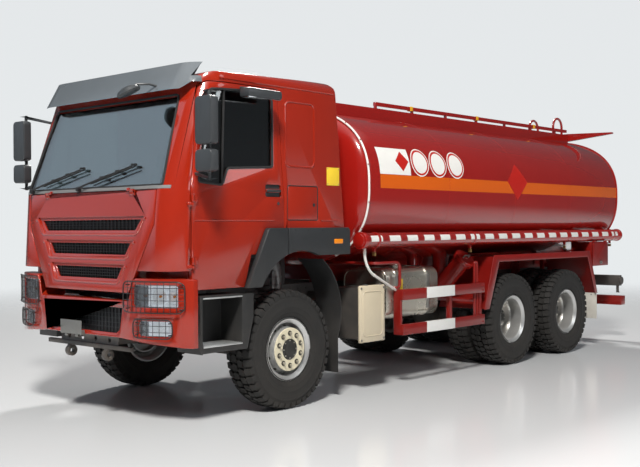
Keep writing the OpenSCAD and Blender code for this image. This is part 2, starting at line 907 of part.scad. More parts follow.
module seat(x) {
    translate([x, 0, 0]) {
        block([-180, -480, cabin_floor_z], [180, -60, 1720]);
        across(-250, 250) round_rect([-540, 1720], [-20, 1860], 50);
        translate([0, -60, 1840]) rotate([-12, 0, 0]) across(-240, 240) round_rect([-60, -20], [70, 640], 50);
        translate([0, 75, 2480]) rotate([-12, 0, 0]) across(-130, 130) round_rect([-55, 0], [40, 190], 40);
        for (x = [-60, 60]) translate([x, 60, 2440]) rotate([-12, 0, 0]) cylinder(h = 60, r = 8);
    }
}

module seats() {
    color([0.2, 0.2, 0.22]) both_sides() seat(560);
}

wheel_pivot = [560, -830, 2030];
wheel_lean = 35;
wheel_rim_r = 225;

module dashboard() {
    color([0.25, 0.25, 0.27]) {
        intersection() {
            across(-cab_x, cab_x) polygon([
                [firewall_y + 0.3, 1600], [-1050, 1620], [-980, 1800], [-970, 1960], [-1010, 2010],
                [-1180, 2030], [firewall_y + 0.3, 1945]
            ]);
            cab_walls(cab_wall + 9);
        }
        translate(wheel_pivot) rotate([-wheel_lean, 0, 0]) {
            translate([0, 0, -360]) cylinder(h = 330, r = 38);
            translate([0, 0, -40]) cylinder(h = 30, r = 12);
        }
    }
}

module steering_wheel() {
    color("black") translate(wheel_pivot) rotate([-wheel_lean, 0, 0]) {
        rotate_extrude() translate([wheel_rim_r, 0]) circle(r = 15, $fn = 32);
        difference() {
            translate([0, 0, -25]) cylinder(h = 40, r = 55);
            translate([0, 0, -30]) cylinder(h = 21, r = 12 + bearing_gap);
        }
        for (a = [30, 150, 270]) rotate([0, 0, a]) bar([40, 0, -5], [wheel_rim_r - 6, 0, 0], 11);
    }
}

// Left and right chassis equipment

module battery_box() {
    color("dimgray") {
        block([760, 985, 540], [side_x - 95, 1360, 1050]);
        block([rail_x, 1020, 800], [760, 1060, 1000]);
        block([rail_x, 1280, 800], [760, 1320, 1000]);
    }
    color("beige") block([side_x - 95, 972, 508], [side_x - 65, 1371, 1076]);
}

fuel_low = [520, 700];
fuel_high = [side_x - 135, 1225];

module fuel_tank() {
    color("silver") along(1480, 2400) round_rect(fuel_low, fuel_high, 110);
    color("silver") for (y = [1640, 2180]) {
        difference() {
            along(y, y + 60) round_rect(fuel_low - [8, 8], fuel_high + [8, 8], 118);
            along(y - 1, y + 61) round_rect(fuel_low, fuel_high, 110);
        }
        block([rail_x, y, 800], [fuel_low[0] - 8, y + 60, 1060]);
    }
}

module air_tanks() {
    color("dimgray") {
        for (x = [side_x - 185, side_x - 475]) translate([-x, guard_front_y + 44, 860])
            rotate([-90, 0, 0]) cylinder(h = 770, r = 125);
        for (y = [guard_front_y + 100, 2180]) block([185 - side_x, y, 970], [-rail_x, y + 40, 1010]);
        block([155 - side_x, 985, 560], [-620, 1380, 1060]);
        block([-620, 1050, 860], [-rail_x, 1110, 960]);
    }
}

guard_front_y = 1587;
guard_rear_y = rear_axle_1_y - 685;

module side_guard() {
    for (z = [[900, 1012], [540, 650]]) {
        block([side_x - 34, guard_front_y, z[0]], [side_x, guard_rear_y, z[1]]);
    }
    block([fuel_high[0] + 10, guard_front_y, 540], [side_x - 34, guard_front_y + 34, 1012]);
    for (arm = [[2480, 930], [guard_rear_y - 60, outlet_low_z - 145]]) {
        block([side_x - 84, arm[0], 540], [side_x - 34, arm[0] + 50, 1012]);
        block([rail_x, arm[0], arm[1]], [side_x - 84, arm[0] + 50, arm[1] + 50]);
    }
}

module side_guards() {
    color("firebrick") both_sides() side_guard();
}

mudguard_top = 1300;
mudguard_path = [
    [rear_axle_1_y - 640, 700], [rear_axle_1_y - 420, mudguard_top], [rear_axle_2_y + 560, mudguard_top],
    [rear_axle_2_y + 800, 740]
];

module mudguard() {
    p = mudguard_path;
    t = 8;
    across(rear_inner_x - tyre_w / 2 - 20, side_x - 6) polygon([
        p[0], p[1], p[2], p[3], p[3] - [t, 0], p[2] - [t / 2, t], p[1] + [t / 2, -t], p[0] + [t, 0]
    ]);
    across(side_x - 6, side_x) polygon([
        p[0] - [50, 0], p[1] - [60, -20], p[2] + [30, 20], p[3] + [12, 0],
        p[3] - [60, 0], p[2] - [30, 60], p[1] + [60, -60], p[0] + [60, 0]
    ]);
    for (y = [rear_axle_1_y - 300, rear_axle_2_y + 500])
        block([rail_x, y, 1000], [rear_inner_x - tyre_w / 2 - 12, y + 50, 1050]);
    for (y = [rear_axle_1_y - 300, rear_axle_2_y + 500])
        block([rear_inner_x - tyre_w / 2 - 60, y, 1050], [rear_inner_x - tyre_w / 2 - 12, y + 50, 1292]);
}

module rear_mudguards() {
    color("firebrick") both_sides() mudguard();
}

module mud_flaps() {
    foot = mudguard_path[3];
    color("gainsboro") both_sides()
        block([rear_inner_x - tyre_w / 2 - 10, foot[0] - 8, 390], [side_x - 8, foot[0] + 2, foot[1] - 0.3]);
}

cabinet_y = [rear_axle_2_y + 690, rear_axle_2_y + 1150];
cabinet_z = [1109, 1436];
cabinet_depth = 330;

module valve_cabinet() {
    color("firebrick") {
        difference() {
            block([side_x - cabinet_depth, cabinet_y[0], cabinet_z[0]],
                [side_x - 22, cabinet_y[1], cabinet_z[1]]);
            block([side_x - cabinet_depth + 6, cabinet_y[0] + 6, cabinet_z[0] + 6],
                [side_x, cabinet_y[1] - 6, cabinet_z[1] - 6]);
        }
        for (y = [cabinet_y[0] + 80, cabinet_y[1] - 120])
            block([rail_x, y, frame_top], [side_x - cabinet_depth, y + 40, frame_top + 60]);
        for (y = [cabinet_y[0] + 40, cabinet_y[1] - 80]) cabinet_hinge_post(y);
    }
}

cabinet_hinge = [side_x - 11, cabinet_z[1] + 8];

module cabinet_hinge_post(y) {
    translate([cabinet_hinge[0], y, cabinet_hinge[1]]) rotate([-90, 0, 0]) cylinder(h = 14, r = 9);
    translate([cabinet_hinge[0], y, cabinet_hinge[1]]) rotate([-90, 0, 0]) cylinder(h = 38, r = 5);
    block([side_x - 40, y, cabinet_z[1] - 6], [cabinet_hinge[0], y + 14, cabinet_z[1] + 12]);
}

module cabinet_door() {
    color("firebrick") {
        block([side_x - 16, cabinet_y[0], cabinet_z[0]], [side_x - 8, cabinet_y[1], cabinet_z[1] - 8]);
        for (y = [cabinet_y[0] + 40, cabinet_y[1] - 80]) difference() {
            union() {
                translate([cabinet_hinge[0], y + 16, cabinet_hinge[1]]) rotate([-90, 0, 0])
                    cylinder(h = 22, r = 9);
                block([side_x - 16, y + 16, cabinet_z[1] - 20], [side_x - 8, y + 38, cabinet_z[1] + 4]);
            }
            translate([cabinet_hinge[0], y + 10, cabinet_hinge[1]]) rotate([-90, 0, 0])
                cylinder(h = 34, r = 5 + bearing_gap);
        }
    }
}

module rear_bumper() {
    color("darkred") {
        block([-side_x + 95, rear_end_y - 140, 510], [side_x - 95, rear_end_y, 640]);
        both_sides() block([rail_x - 70, frame_rear_y, 540], [rail_x, rear_end_y - 140, frame_top - 20]);
        both_sides() block([rail_x - 70, frame_rear_y - 60, frame_top - rail_h - 60],
            [rail_x, rear_end_y - 140, frame_top - rail_h]);
        both_sides() block([rail_x - 10, frame_rear_y, 860], [side_x - 95, frame_rear_y + 20, 900]);
        both_sides() block([side_x - 560, rear_end_y - 180, 790], [side_x - 95, rear_end_y - 110, 940]);
    }
}

// Tank

tank_sides = 48;

module tank_section(d) {
    polygon([for (i = [0:tank_sides - 1]) tank_point(i * 360 / tank_sides, d) + [0, tank_z]]);
}

module head_slice(y, shrink) {
    translate([0, y, 0]) rotate([90, 0, 0]) linear_extrude(height = 1)
        polygon([for (i = [0:tank_sides - 1]) shrink * tank_point(i * 360 / tank_sides, 0) + [0, tank_z]]);
}

module tank() {
    color("firebrick") {
        hull() {
            along(tank_front_y, tank_rear_y) tank_section(0);
            for (a = [15:15:75]) {
                head_slice(tank_front_y + 1 - head_depth * sin(a), 0.12 + 0.88 * pow(cos(a), 0.55));
                head_slice(tank_rear_y + head_depth * sin(a), 0.12 + 0.88 * pow(cos(a), 0.55));
            }
        }
    }
}

module tank_saddles() {
    color("firebrick") {
        difference() {
            union() {
                for (y = [tank_front_y + 60:900:tank_rear_y - 100]) {
                    along(y, y + 12) polygon([
                        [-rail_x, frame_top + 20], [rail_x, frame_top + 20], [rail_x + 60, mudguard_top + 10],
                        [900, 1480], [900, 1560], [-900, 1560], [-900, 1480],
                        [-rail_x - 60, mudguard_top + 10]
                    ]);
                }
                both_sides() block([rail_x - 80, tank_front_y + 10, frame_top],
                    [rail_x, tank_rear_y - 20, tank_bottom_z + 60]);
            }
            along(tank_front_y - 10, tank_rear_y + 10) tank_section(0.3);
            outlet_branch(1);
        }
    }
}

hose_cap_y = 1005;
hose_cap_h = 60;

module hose_tube() {
    translate([hose_tube_x, hose_cap_y + 25, hose_tube_z]) rotate([-90, 0, 0])
        cylinder(h = tank_rear_y + 80 - hose_cap_y - 25, r = hose_tube_r);
    translate([hose_tube_x, hose_cap_y, hose_tube_z]) rotate([-90, 0, 0])
        cylinder(h = hose_cap_h, r = hose_tube_r + 6);
    translate([hose_tube_x, tank_rear_y + 60, hose_tube_z]) rotate([-90, 0, 0])
        cylinder(h = 30, r = hose_tube_r + 6);
    for (y = [tank_front_y + 70:900:tank_rear_y - 90])
        difference() {
            block([890, y, hose_tube_z - 30], [hose_tube_x - 20, y + 12, hose_tube_z + 60]);
            along(y - 1, y + 13) tank_section(0.3);
        }
}

module hose_tubes() {
    color("firebrick") both_sides() hose_tube();
}

module walkway() {
    half = walkway_half_w;
    edge_z = tank_z + tank_point(acos(pow((half + 8) / (tank_w / 2), tank_power / 2)), 0)[1] + 1;
    color("firebrick") {
        difference() {
            union() {
                both_sides() block([half - 6, walkway_front_y, edge_z],
                    [half, walkway_rear_y, walkway_wall_top]);
                for (y = [walkway_front_y, walkway_rear_y - 6])
                    block([-half, y, tank_top_z + 1], [half, y + 6, walkway_wall_top]);
                block([-half, walkway_front_y, walkway_z], [half, walkway_rear_y, walkway_z + 5]);
            }
            for (y = manhole_y) translate([0, y, tank_top_z - 20]) cylinder(h = 80, r = manhole_r - 14);
        }
        for (y = manhole_y) manhole_collar(y);
        both_sides() {
            block([half - 36, walkway_front_y + 1000, rail_top_z - 40],
                [half + 4, walkway_rear_y - 40, rail_top_z]);
            for (y = [walkway_front_y + 1000:690:walkway_rear_y - 60])
                block([half - 30, y, walkway_z + 5], [half - 2, y + 30, rail_top_z - 40]);
        }
        cross_arm();
    }
}

module cross_arm() {
    y = walkway_rear_y + 40;
    along(y, y + 60) polygon([
        [-1110, 2990], [-1110, 2970], [-430, walkway_z], [430, walkway_z], [1110, 2970], [1110, 2990],
        [430, 3010], [-430, 3010]
    ]);
    both_sides() block([350, walkway_rear_y - 10, 2900], [410, y + 1, 2960]);
}

module manhole_collar(y) {
    difference() {
        union() {
            translate([0, y, tank_top_z + 0.5]) cylinder(h = lid_z - tank_top_z - 0.5, r = manhole_r);
            translate([-35, y + manhole_r - 6, lid_z - 40]) block([0, 0, 0], [70, 50, 20]);
        }
        translate([0, y, tank_top_z - 1]) cylinder(h = 200, r = manhole_r - 14);
    }
    for (x = [-35, 23]) translate([x, y + manhole_r + 28, lid_z - 10]) manhole_ear();
}

module manhole_ear() {
    difference() {
        union() {
            block([0, -12, -12], [12, 12, 10]);
            translate([0, 0, 10]) rotate([0, 90, 0]) cylinder(h = 12, r = 12);
        }
        translate([-1, 0, 10]) rotate([0, 90, 0]) cylinder(h = 14, r = lid_pin_r + bearing_gap);
    }
}

module manhole_lid(y) {
    color("firebrick") {
        translate([0, y, lid_z + 0.3]) cylinder(h = 20, r = manhole_r + 8);
        translate([0, y, lid_z + 20]) cylinder(h = 14, r = 90);
        block([-18, y + manhole_r - 10, lid_z + 0.3], [18, y + manhole_r + 28, lid_z + 12]);
        translate([-18, y + manhole_r + 28, lid_z]) rotate([0, 90, 0]) cylinder(h = 36, r = 12);
        translate([-34, y + manhole_r + 28, lid_z]) rotate([0, 90, 0]) cylinder(h = 68, r = lid_pin_r);
    }
}

module manhole_lid_front() {
    manhole_lid(manhole_y[0]);
}

module manhole_lid_rear() {
    manhole_lid(manhole_y[1]);
}

ladder_y = tank_rear_y + head_depth + 90;
ladder_half_w = 200;
hoop_r = 130;

module rear_ladder() {
    color("firebrick") {
        both_sides() {
            translate([ladder_half_w, ladder_y, 1120]) cylinder(h = 2010, r = 17);
            translate([ladder_half_w, ladder_y - hoop_r, 3130]) rotate([90, 0, 90])
                rotate_extrude(angle = 180) translate([hoop_r, 0]) circle(r = 17, $fn = 32);
            translate([ladder_half_w, ladder_y - 2 * hoop_r, walkway_z])
                cylinder(h = 3130 - walkway_z, r = 17);
            block([ladder_half_w - 20, frame_rear_y - 50, 1090], [ladder_half_w + 20, ladder_y + 17, 1122]);
            block([ladder_half_w - 20, frame_rear_y - 50, frame_top - 60],
                [ladder_half_w + 20, frame_rear_y - 10, 1091]);
        }
        for (z = [1300:290:2900]) translate([-ladder_half_w, ladder_y, z]) rotate([0, 90, 0])
            cylinder(h = 2 * ladder_half_w, r = 13);
    }
}

outlet_x = 640;
outlet_y = 3112;
outlet_low_z = 930;
outlet_reach = 360;

// The large branch that slopes up and outwards from the outlet's down pipe, its radius grown by d
module outlet_branch(d) {
    bar([outlet_x, outlet_y, outlet_low_z],
        [outlet_x + outlet_reach, outlet_y, outlet_low_z + outlet_reach], 105 + d);
}

module outlet_pipes() {
    color("firebrick") difference() {
        union() {
            outlet_branch(0);
            bar([outlet_x + outlet_reach - 22, outlet_y, outlet_low_z + outlet_reach - 22],
                [outlet_x + outlet_reach, outlet_y, outlet_low_z + outlet_reach], 132);
            translate([outlet_x, outlet_y, outlet_low_z - 85]) cylinder(h = 600, r = 85);
            bar([outlet_x, 2560, 1400], [outlet_x, 2560, 1020], 57);
            translate([outlet_x, 2560, 1000]) cylinder(h = 24, r = 100);
        }
        along(tank_front_y, tank_rear_y) tank_section(0.3);
    }
}

hose_r = 14;
hose_x = hose_tube_x;
hose_y = hose_cap_y + hose_cap_h + hose_r + 5;
hose_bend_z = 1405;
hose_bend_r = 260;
hose_turn = 65;

// Drain hose: down from the hose tube, round a bend, then on to the guard's front post
module vent_hose() {
    bend_end = [hose_y + hose_bend_r * (1 - cos(hose_turn)), hose_bend_z - hose_bend_r * sin(hose_turn)];
    post = guard_front_y + hose_r;
    foot_z = bend_end[1] - (post - bend_end[0]) / tan(hose_turn);
    ferrule = 12 * [0, sin(hose_turn), -cos(hose_turn)];
    color("white") difference() {
        union() {
            translate([hose_x, hose_y, hose_bend_z])
                cylinder(h = hose_tube_z - hose_tube_r - 0.3 - hose_bend_z, r = hose_r);
            translate([hose_x, hose_y + hose_bend_r, hose_bend_z]) rotate([90, 0, 90]) rotate([0, 0, 180])
                rotate_extrude(angle = hose_turn) translate([hose_bend_r, 0]) circle(r = hose_r, $fn = 32);
            bar([hose_x, bend_end[0], bend_end[1]], [hose_x, post, foot_z], hose_r);
            translate([hose_x, hose_y, hose_bend_z - 12]) cylinder(h = 24, r = hose_r + 3);
            bar([hose_x, bend_end[0], bend_end[1]] - ferrule, [hose_x, bend_end[0], bend_end[1]] + ferrule,
                hose_r + 3);
        }
        block([hose_x - 60, guard_front_y - 0.3, 800], [hose_x + 60, guard_front_y + 100, 1200]);
    }
}

at_axle() chassis_frame();
at_axle() engine_block();
at_axle() radiator();
at_axle() front_axle();
at_axle() rear_axles();
at_axle() knuckle_left();
at_axle() knuckle_right();
at_axle() front_rim_left();
at_axle() front_rim_right();
at_axle() front_tyre_left();
at_axle() front_tyre_right();
at_axle() rear_rims_1_left();
at_axle() rear_rims_1_right();
at_axle() rear_rims_2_left();
at_axle() rear_rims_2_right();
at_axle() rear_tyres_1_left();
at_axle() rear_tyres_1_right();
at_axle() rear_tyres_2_left();
at_axle() rear_tyres_2_right();
at_axle() front_bumper();
at_axle() headlamps();
at_axle() entry_steps();
at_axle() front_mudguards();
at_axle() cab_shell();
at_axle() windscreen();
at_axle() sun_visor();
at_axle() wipers();
at_axle() cab_flares();
at_axle() front_panel();
at_axle() door_left();
at_axle() door_right();
at_axle() door_glass_left();
at_axle() door_glass_right();
at_axle() door_flare_left();
at_axle() door_flare_right();
at_axle() mirrors_left();
at_axle() mirrors_right();
at_axle() seats();
at_axle() dashboard();
at_axle() steering_wheel();
at_axle() battery_box();
at_axle() fuel_tank();
at_axle() air_tanks();
at_axle() side_guards();
at_axle() rear_mudguards();
at_axle() mud_flaps();
at_axle() valve_cabinet();
at_axle() cabinet_door();
at_axle() rear_bumper();
at_axle() tank();
at_axle() tank_saddles();
at_axle() hose_tubes();
at_axle() walkway();
at_axle() manhole_lid_front();
at_axle() manhole_lid_rear();
at_axle() rear_ladder();
at_axle() outlet_pipes();
at_axle() vent_hose();
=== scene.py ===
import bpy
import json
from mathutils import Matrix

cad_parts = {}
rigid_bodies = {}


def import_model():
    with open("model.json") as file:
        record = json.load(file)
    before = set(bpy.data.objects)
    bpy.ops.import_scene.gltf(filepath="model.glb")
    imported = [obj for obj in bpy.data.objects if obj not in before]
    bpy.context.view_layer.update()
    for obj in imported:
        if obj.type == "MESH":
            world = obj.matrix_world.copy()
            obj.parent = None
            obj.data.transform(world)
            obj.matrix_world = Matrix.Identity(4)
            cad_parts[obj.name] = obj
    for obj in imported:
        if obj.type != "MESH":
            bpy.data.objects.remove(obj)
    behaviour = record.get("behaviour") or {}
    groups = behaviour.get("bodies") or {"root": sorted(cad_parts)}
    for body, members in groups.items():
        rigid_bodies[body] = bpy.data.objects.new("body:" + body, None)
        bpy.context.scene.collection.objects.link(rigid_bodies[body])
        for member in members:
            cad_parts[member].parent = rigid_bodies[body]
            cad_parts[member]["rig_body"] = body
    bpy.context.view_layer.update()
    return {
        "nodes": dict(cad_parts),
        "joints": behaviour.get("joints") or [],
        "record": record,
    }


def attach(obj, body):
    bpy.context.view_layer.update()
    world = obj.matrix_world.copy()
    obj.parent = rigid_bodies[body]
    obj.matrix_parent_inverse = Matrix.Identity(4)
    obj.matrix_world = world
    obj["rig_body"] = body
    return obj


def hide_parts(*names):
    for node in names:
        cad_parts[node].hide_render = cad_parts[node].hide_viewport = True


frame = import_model()

import json
import math
import bmesh
import bpy
from mathutils import Matrix, Vector
from mathutils.bvhtree import BVHTree

# Camera, floor and light. The vehicle stands on a pale studio floor that fades into the backdrop. One large
# lamp stands high in front of it and to its left, and the pale surroundings fill the shadows.


def new_object(name, data):
    made = bpy.data.objects.new(name, data)
    bpy.context.scene.collection.objects.link(made)
    return made


# Inputs of a node. A value that is another node's output is linked, and any other is set
def feed(tree, node, values):
    for key, value in values.items():
        if isinstance(value, bpy.types.NodeSocket):
            tree.links.new(value, node.inputs[key])
        else:
            node.inputs[key].default_value = value
    return node


def add_node(tree, kind, values, **settings):
    made = tree.nodes.new(kind)
    for key, value in settings.items():
        setattr(made, key, value)
    return feed(tree, made, values)


camera_place = Vector((7.2707, -9.2302, 1.6583))
camera_turn, camera_rise, camera_roll = (math.radians(angle) for angle in (41.82, 0.38, -0.32))
back = Vector((
    math.sin(camera_turn) * math.cos(camera_rise),
    -math.cos(camera_turn) * math.cos(camera_rise),
    math.sin(camera_rise),
))
level = Vector((0, 0, 1)).cross(back).normalized()
side = math.cos(camera_roll) * level + math.sin(camera_roll) * back.cross(level)
camera_data = bpy.data.cameras.new("camera")
camera_data.lens = 54.72
camera_data.sensor_width = 36
camera_data.clip_end = 500
camera = new_object("camera", camera_data)
camera_axes = Matrix((side, back.cross(side), back)).transposed().to_4x4()
camera.matrix_world = Matrix.Translation(camera_place) @ camera_axes
bpy.context.scene.camera = camera
bpy.context.scene.view_settings.view_transform = "Standard"

world = bpy.data.worlds.new("studio")
bpy.context.scene.world = world
world.use_nodes = True
sky = world.node_tree
sky.nodes.clear()
heading = add_node(sky, "ShaderNodeTexCoord", {}).outputs["Generated"]
height = add_node(sky, "ShaderNodeSeparateXYZ", {0: heading}).outputs["Z"]
from_below = add_node(sky, "ShaderNodeMapRange", {"Value": height, "From Min": -1}).outputs["Result"]
rays = add_node(sky, "ShaderNodeLightPath", {}).outputs
skies = []
for strength, share, stops in (
    (0.17, height, ((0.0, (0.80, 0.84, 0.90)), (1.0, (0.86, 0.92, 1.0)))),
    (1.00, height, ((0.0, (0.80, 0.83, 0.84)), (0.45, (0.76, 0.78, 0.80)))),
    (1.30, from_below, ((0.48, (0.09, 0.09, 0.095)), (0.56, (0.055, 0.06, 0.065)), (0.82, (0.07, 0.08, 0.09)),
                        (0.97, (1.0, 1.0, 1.0)))),
):
    ramp = add_node(sky, "ShaderNodeValToRGB", {"Fac": share})
    while len(ramp.color_ramp.elements) < len(stops):
        ramp.color_ramp.elements.new(0.5)
    for stop, (at, colour) in zip(ramp.color_ramp.elements, stops):
        stop.position = at
        stop.color = (*colour, 1)
    light = add_node(sky, "ShaderNodeBackground", {"Color": ramp.outputs["Color"], "Strength": strength})
    skies.append(light.outputs[0])
fill, backdrop, reflected = skies
direct = add_node(sky, "ShaderNodeMath", {0: rays["Is Camera Ray"], 1: rays["Is Transmission Ray"]},
                  operation="MAXIMUM").outputs[0]
seen = add_node(sky, "ShaderNodeMixShader", {"Fac": direct, 1: fill, 2: backdrop}).outputs[0]
ahead = add_node(sky, "ShaderNodeVectorMath", {0: heading, 1: (-0.70, -0.60, 0.40)}, operation="DOT_PRODUCT")
ahead_share = add_node(sky, "ShaderNodeMapRange", {
    "Value": ahead.outputs["Value"], "From Min": 0.84, "From Max": 0.99, "To Max": 0.95,
}, interpolation_type="SMOOTHSTEP").outputs["Result"]
ahead_light = add_node(sky, "ShaderNodeBackground", {"Color": (0.66, 0.80, 0.95, 1), "Strength": ahead_share})
shine = add_node(sky, "ShaderNodeAddShader", {0: reflected, 1: ahead_light.outputs[0]}).outputs[0]
whole = add_node(sky, "ShaderNodeMixShader", {"Fac": rays["Is Glossy Ray"], 1: seen, 2: shine}).outputs[0]
add_node(sky, "ShaderNodeOutputWorld", {"Surface": whole})

middle = Vector((0, 0, 1.5))
for name, place, aim, size, power, colour in (
    ("key_lamp", Vector((8.5, -12.0, 14.5)), Vector((0, -1, 1.5)), 3.0, 4300, (1.0, 0.97, 0.92)),
    ("back_lamp", Vector((-10, 9, 13)), middle, 2.5, 3200, (1.0, 0.97, 0.93)),
    ("side_lamp", Vector((14, 3, 7)), middle, 6.0, 260, (0.95, 0.97, 1.0)),
):
    lamp = bpy.data.lights.new(name, "AREA")
    lamp.shape = "DISK"
    lamp.size = size
    lamp.energy = power
    lamp.color = colour
    lamp_turn = (place - aim).to_track_quat("Z", "Y").to_matrix().to_4x4()
    new_object(name, lamp).matrix_world = Matrix.Translation(place) @ lamp_turn

floor_half = 60
floor_corners = [(x * floor_half, y * floor_half, 0) for x, y in ((-1, -1), (1, -1), (1, 1), (-1, 1))]
floor_mesh = bpy.data.meshes.new("floor")
floor_mesh.from_pydata(floor_corners, [], [(0, 1, 2, 3)])
new_object("floor", floor_mesh)
floor_look = bpy.data.materials.new("studio_floor")
floor_look.use_nodes = True
tree = floor_look.node_tree
pale = feed(tree, tree.nodes["Principled BSDF"], {"Base Color": (0.78, 0.80, 0.82, 1), "Roughness": 0.16})
spot = add_node(tree, "ShaderNodeTexCoord", {}).outputs["Object"]
away = add_node(tree, "ShaderNodeVectorMath", {0: spot}, operation="LENGTH").outputs["Value"]
fade = add_node(tree, "ShaderNodeMapRange", {"Value": away, "From Min": 7, "From Max": 19},
                interpolation_type="SMOOTHSTEP").outputs["Result"]
clear = add_node(tree, "ShaderNodeBsdfTransparent", {}).outputs[0]
faded = add_node(tree, "ShaderNodeMixShader", {"Fac": fade, 1: pale.outputs[0], 2: clear}).outputs[0]
feed(tree, tree.nodes["Material Output"], {"Surface": faded})
floor_mesh.materials.append(floor_look)

# Chassis frame. Two pressed steel channel rails with cross members, the under-run bar and the tow eyes, all
# in satin black paint with road dust on the lower parts. Rows of rivets and bolts hold the cross members.


def surface(name, colour, rough, metal=0.0, coat=0.0, patch=2.0, drift=0.15, grain=400.0, depth=0.0001,
            dust=0.0):
    made = bpy.data.materials.new(name)
    made.use_nodes = True
    tree = made.node_tree
    spot = add_node(tree, "ShaderNodeTexCoord", {}).outputs["Object"]

    def noise(scale, detail):
        values = {"Vector": spot, "Scale": scale, "Detail": detail}
        return add_node(tree, "ShaderNodeTexNoise", values).outputs["Fac"]

    def mix(share, one, two):
        return add_node(tree, "ShaderNodeMix", {0: share, 6: one, 7: two}, data_type="RGBA").outputs[2]

    cloud = noise(patch, 5)
    tone = mix(cloud, (*[c * (1 - drift) for c in colour], 1),
               (*[min(1, c * (1 + drift)) for c in colour], 1))
    if dust:
        height = add_node(tree, "ShaderNodeSeparateXYZ", {0: spot}).outputs["Z"]
        low = add_node(tree, "ShaderNodeMapRange", {
            "Value": height, "From Min": 1.5, "From Max": 0.1, "To Max": 2 * dust,
        }).outputs["Result"]
        share = add_node(tree, "ShaderNodeMath", {0: low, 1: noise(9, 8)}, operation="MULTIPLY",
                         use_clamp=True)
        tone = mix(share.outputs[0], tone, (0.23, 0.19, 0.15, 1))
    sheen = add_node(tree, "ShaderNodeMapRange", {
        "Value": cloud, "To Min": rough * 0.8, "To Max": min(1, rough * 1.25),
    })
    relief = add_node(tree, "ShaderNodeBump", {"Height": noise(grain, 3), "Distance": depth})
    feed(tree, tree.nodes["Principled BSDF"], {
        "Base Color": tone, "Roughness": sheen.outputs["Result"], "Normal": relief.outputs["Normal"],
        "Metallic": metal, "Coat Weight": coat, "Coat Roughness": 0.04,
        "Specular IOR Level": 0.2 if coat else 0.4,
    })
    return made


joint = {j["name"]: j for j in frame["joints"]}
slot_of = {part["node"]: part["material_slot"] for part in frame["record"]["subparts"]}
axle_y, wheel_z = joint["front_wheel_left_spin"]["pos_m"][1:]
# Shapes are built with y measured rearwards from the front axle, and this moves them to their place
to_frame = Matrix.Translation((0, axle_y, 0))


def place_mesh(name, mesh, body, finish, crease=35):
    mesh.materials.clear()
    mesh.materials.append(finish)
    mesh.shade_smooth()
    mesh.set_sharp_from_angle(angle=math.radians(crease))
    made = new_object(name, mesh)
    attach(made, body)
    return made


def to_mesh(shape, name):
    bmesh.ops.recalc_face_normals(shape, faces=shape.faces)
    mesh = bpy.data.meshes.new(name)
    shape.to_mesh(mesh)
    shape.free()
    return mesh


# Finished piece from a shape, on the truck unless a body is named. A pair also gets its mirror image
def place(name, shape, slot, finish, body="truck", crease=35, pair=False):
    if pair:
        twin = bmesh.ops.duplicate(shape, geom=shape.verts[:] + shape.edges[:] + shape.faces[:])["geom"]
        corners = [item for item in twin if isinstance(item, bmesh.types.BMVert)]
        bmesh.ops.scale(shape, vec=(-1, 1, 1), verts=corners)
    mesh = to_mesh(shape, name)
    mesh.transform(to_frame)
    return place_mesh(name, mesh, body, finish, crease)


# Mesh of an object as its modifiers leave it
def evaluated(made):
    return bpy.data.meshes.new_from_object(made.evaluated_get(bpy.context.evaluated_depsgraph_get()))


# Copy of a construction piece with its edges broken, which takes that piece's place
def soften(node, width, finish, crease=30, segments=2):
    source = frame["nodes"][node]
    shape = bmesh.new()
    shape.from_mesh(source.data)
    bmesh.ops.remove_doubles(shape, verts=shape.verts, dist=0.00005)
    bmesh.ops.dissolve_limit(shape, angle_limit=math.radians(0.5), verts=shape.verts, edges=shape.edges)
    mesh = bpy.data.meshes.new(node + "_rough")
    shape.to_mesh(mesh)
    shape.free()
    rough = new_object(node + "_rough", mesh)
    edge = rough.modifiers.new("edge", "BEVEL")
    edge.width = width
    edge.segments = segments
    edge.limit_method = "ANGLE"
    edge.angle_limit = math.radians(28)
    edge.use_clamp_overlap = False
    done = evaluated(rough)
    bpy.data.objects.remove(rough)
    made = place_mesh(node + "_finished", done, source["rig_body"], finish, crease)
    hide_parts(node)
    return made


def bevel(shape, geom, width, segments=2, profile=0.6):
    done = bmesh.ops.bevel(shape, geom=geom, offset=width, segments=segments, affect="EDGES", profile=profile)
    return done["verts"]


def add_block(shape, low, high, edge=0.0):
    made = bmesh.ops.create_cube(shape, size=1)["verts"]
    for v in made:
        v.co = [(v.co[k] + 0.5) * (high[k] - low[k]) + low[k] for k in range(3)]
    if edge:
        bevel(shape, made + list({e for v in made for e in v.link_edges}), edge)


# Round bar, cone or disc between two points
def add_rod(shape, start, end, radius, end_radius=None, sides=16, edge=0.0):
    start, end = Vector(start), Vector(end)
    axis = end - start
    made = bmesh.ops.create_cone(
        shape, segments=sides, radius1=radius, radius2=radius if end_radius is None else end_radius,
        depth=axis.length, cap_ends=True,
    )["verts"]
    turn = axis.to_track_quat("Z", "Y").to_matrix().to_4x4()
    bmesh.ops.transform(shape, matrix=Matrix.Translation((start + end) / 2) @ turn, verts=made)
    if edge:
        rims = {e for v in made for e in v.link_edges if e.calc_face_angle(0) > math.radians(60)}
        bevel(shape, list(rims), edge)


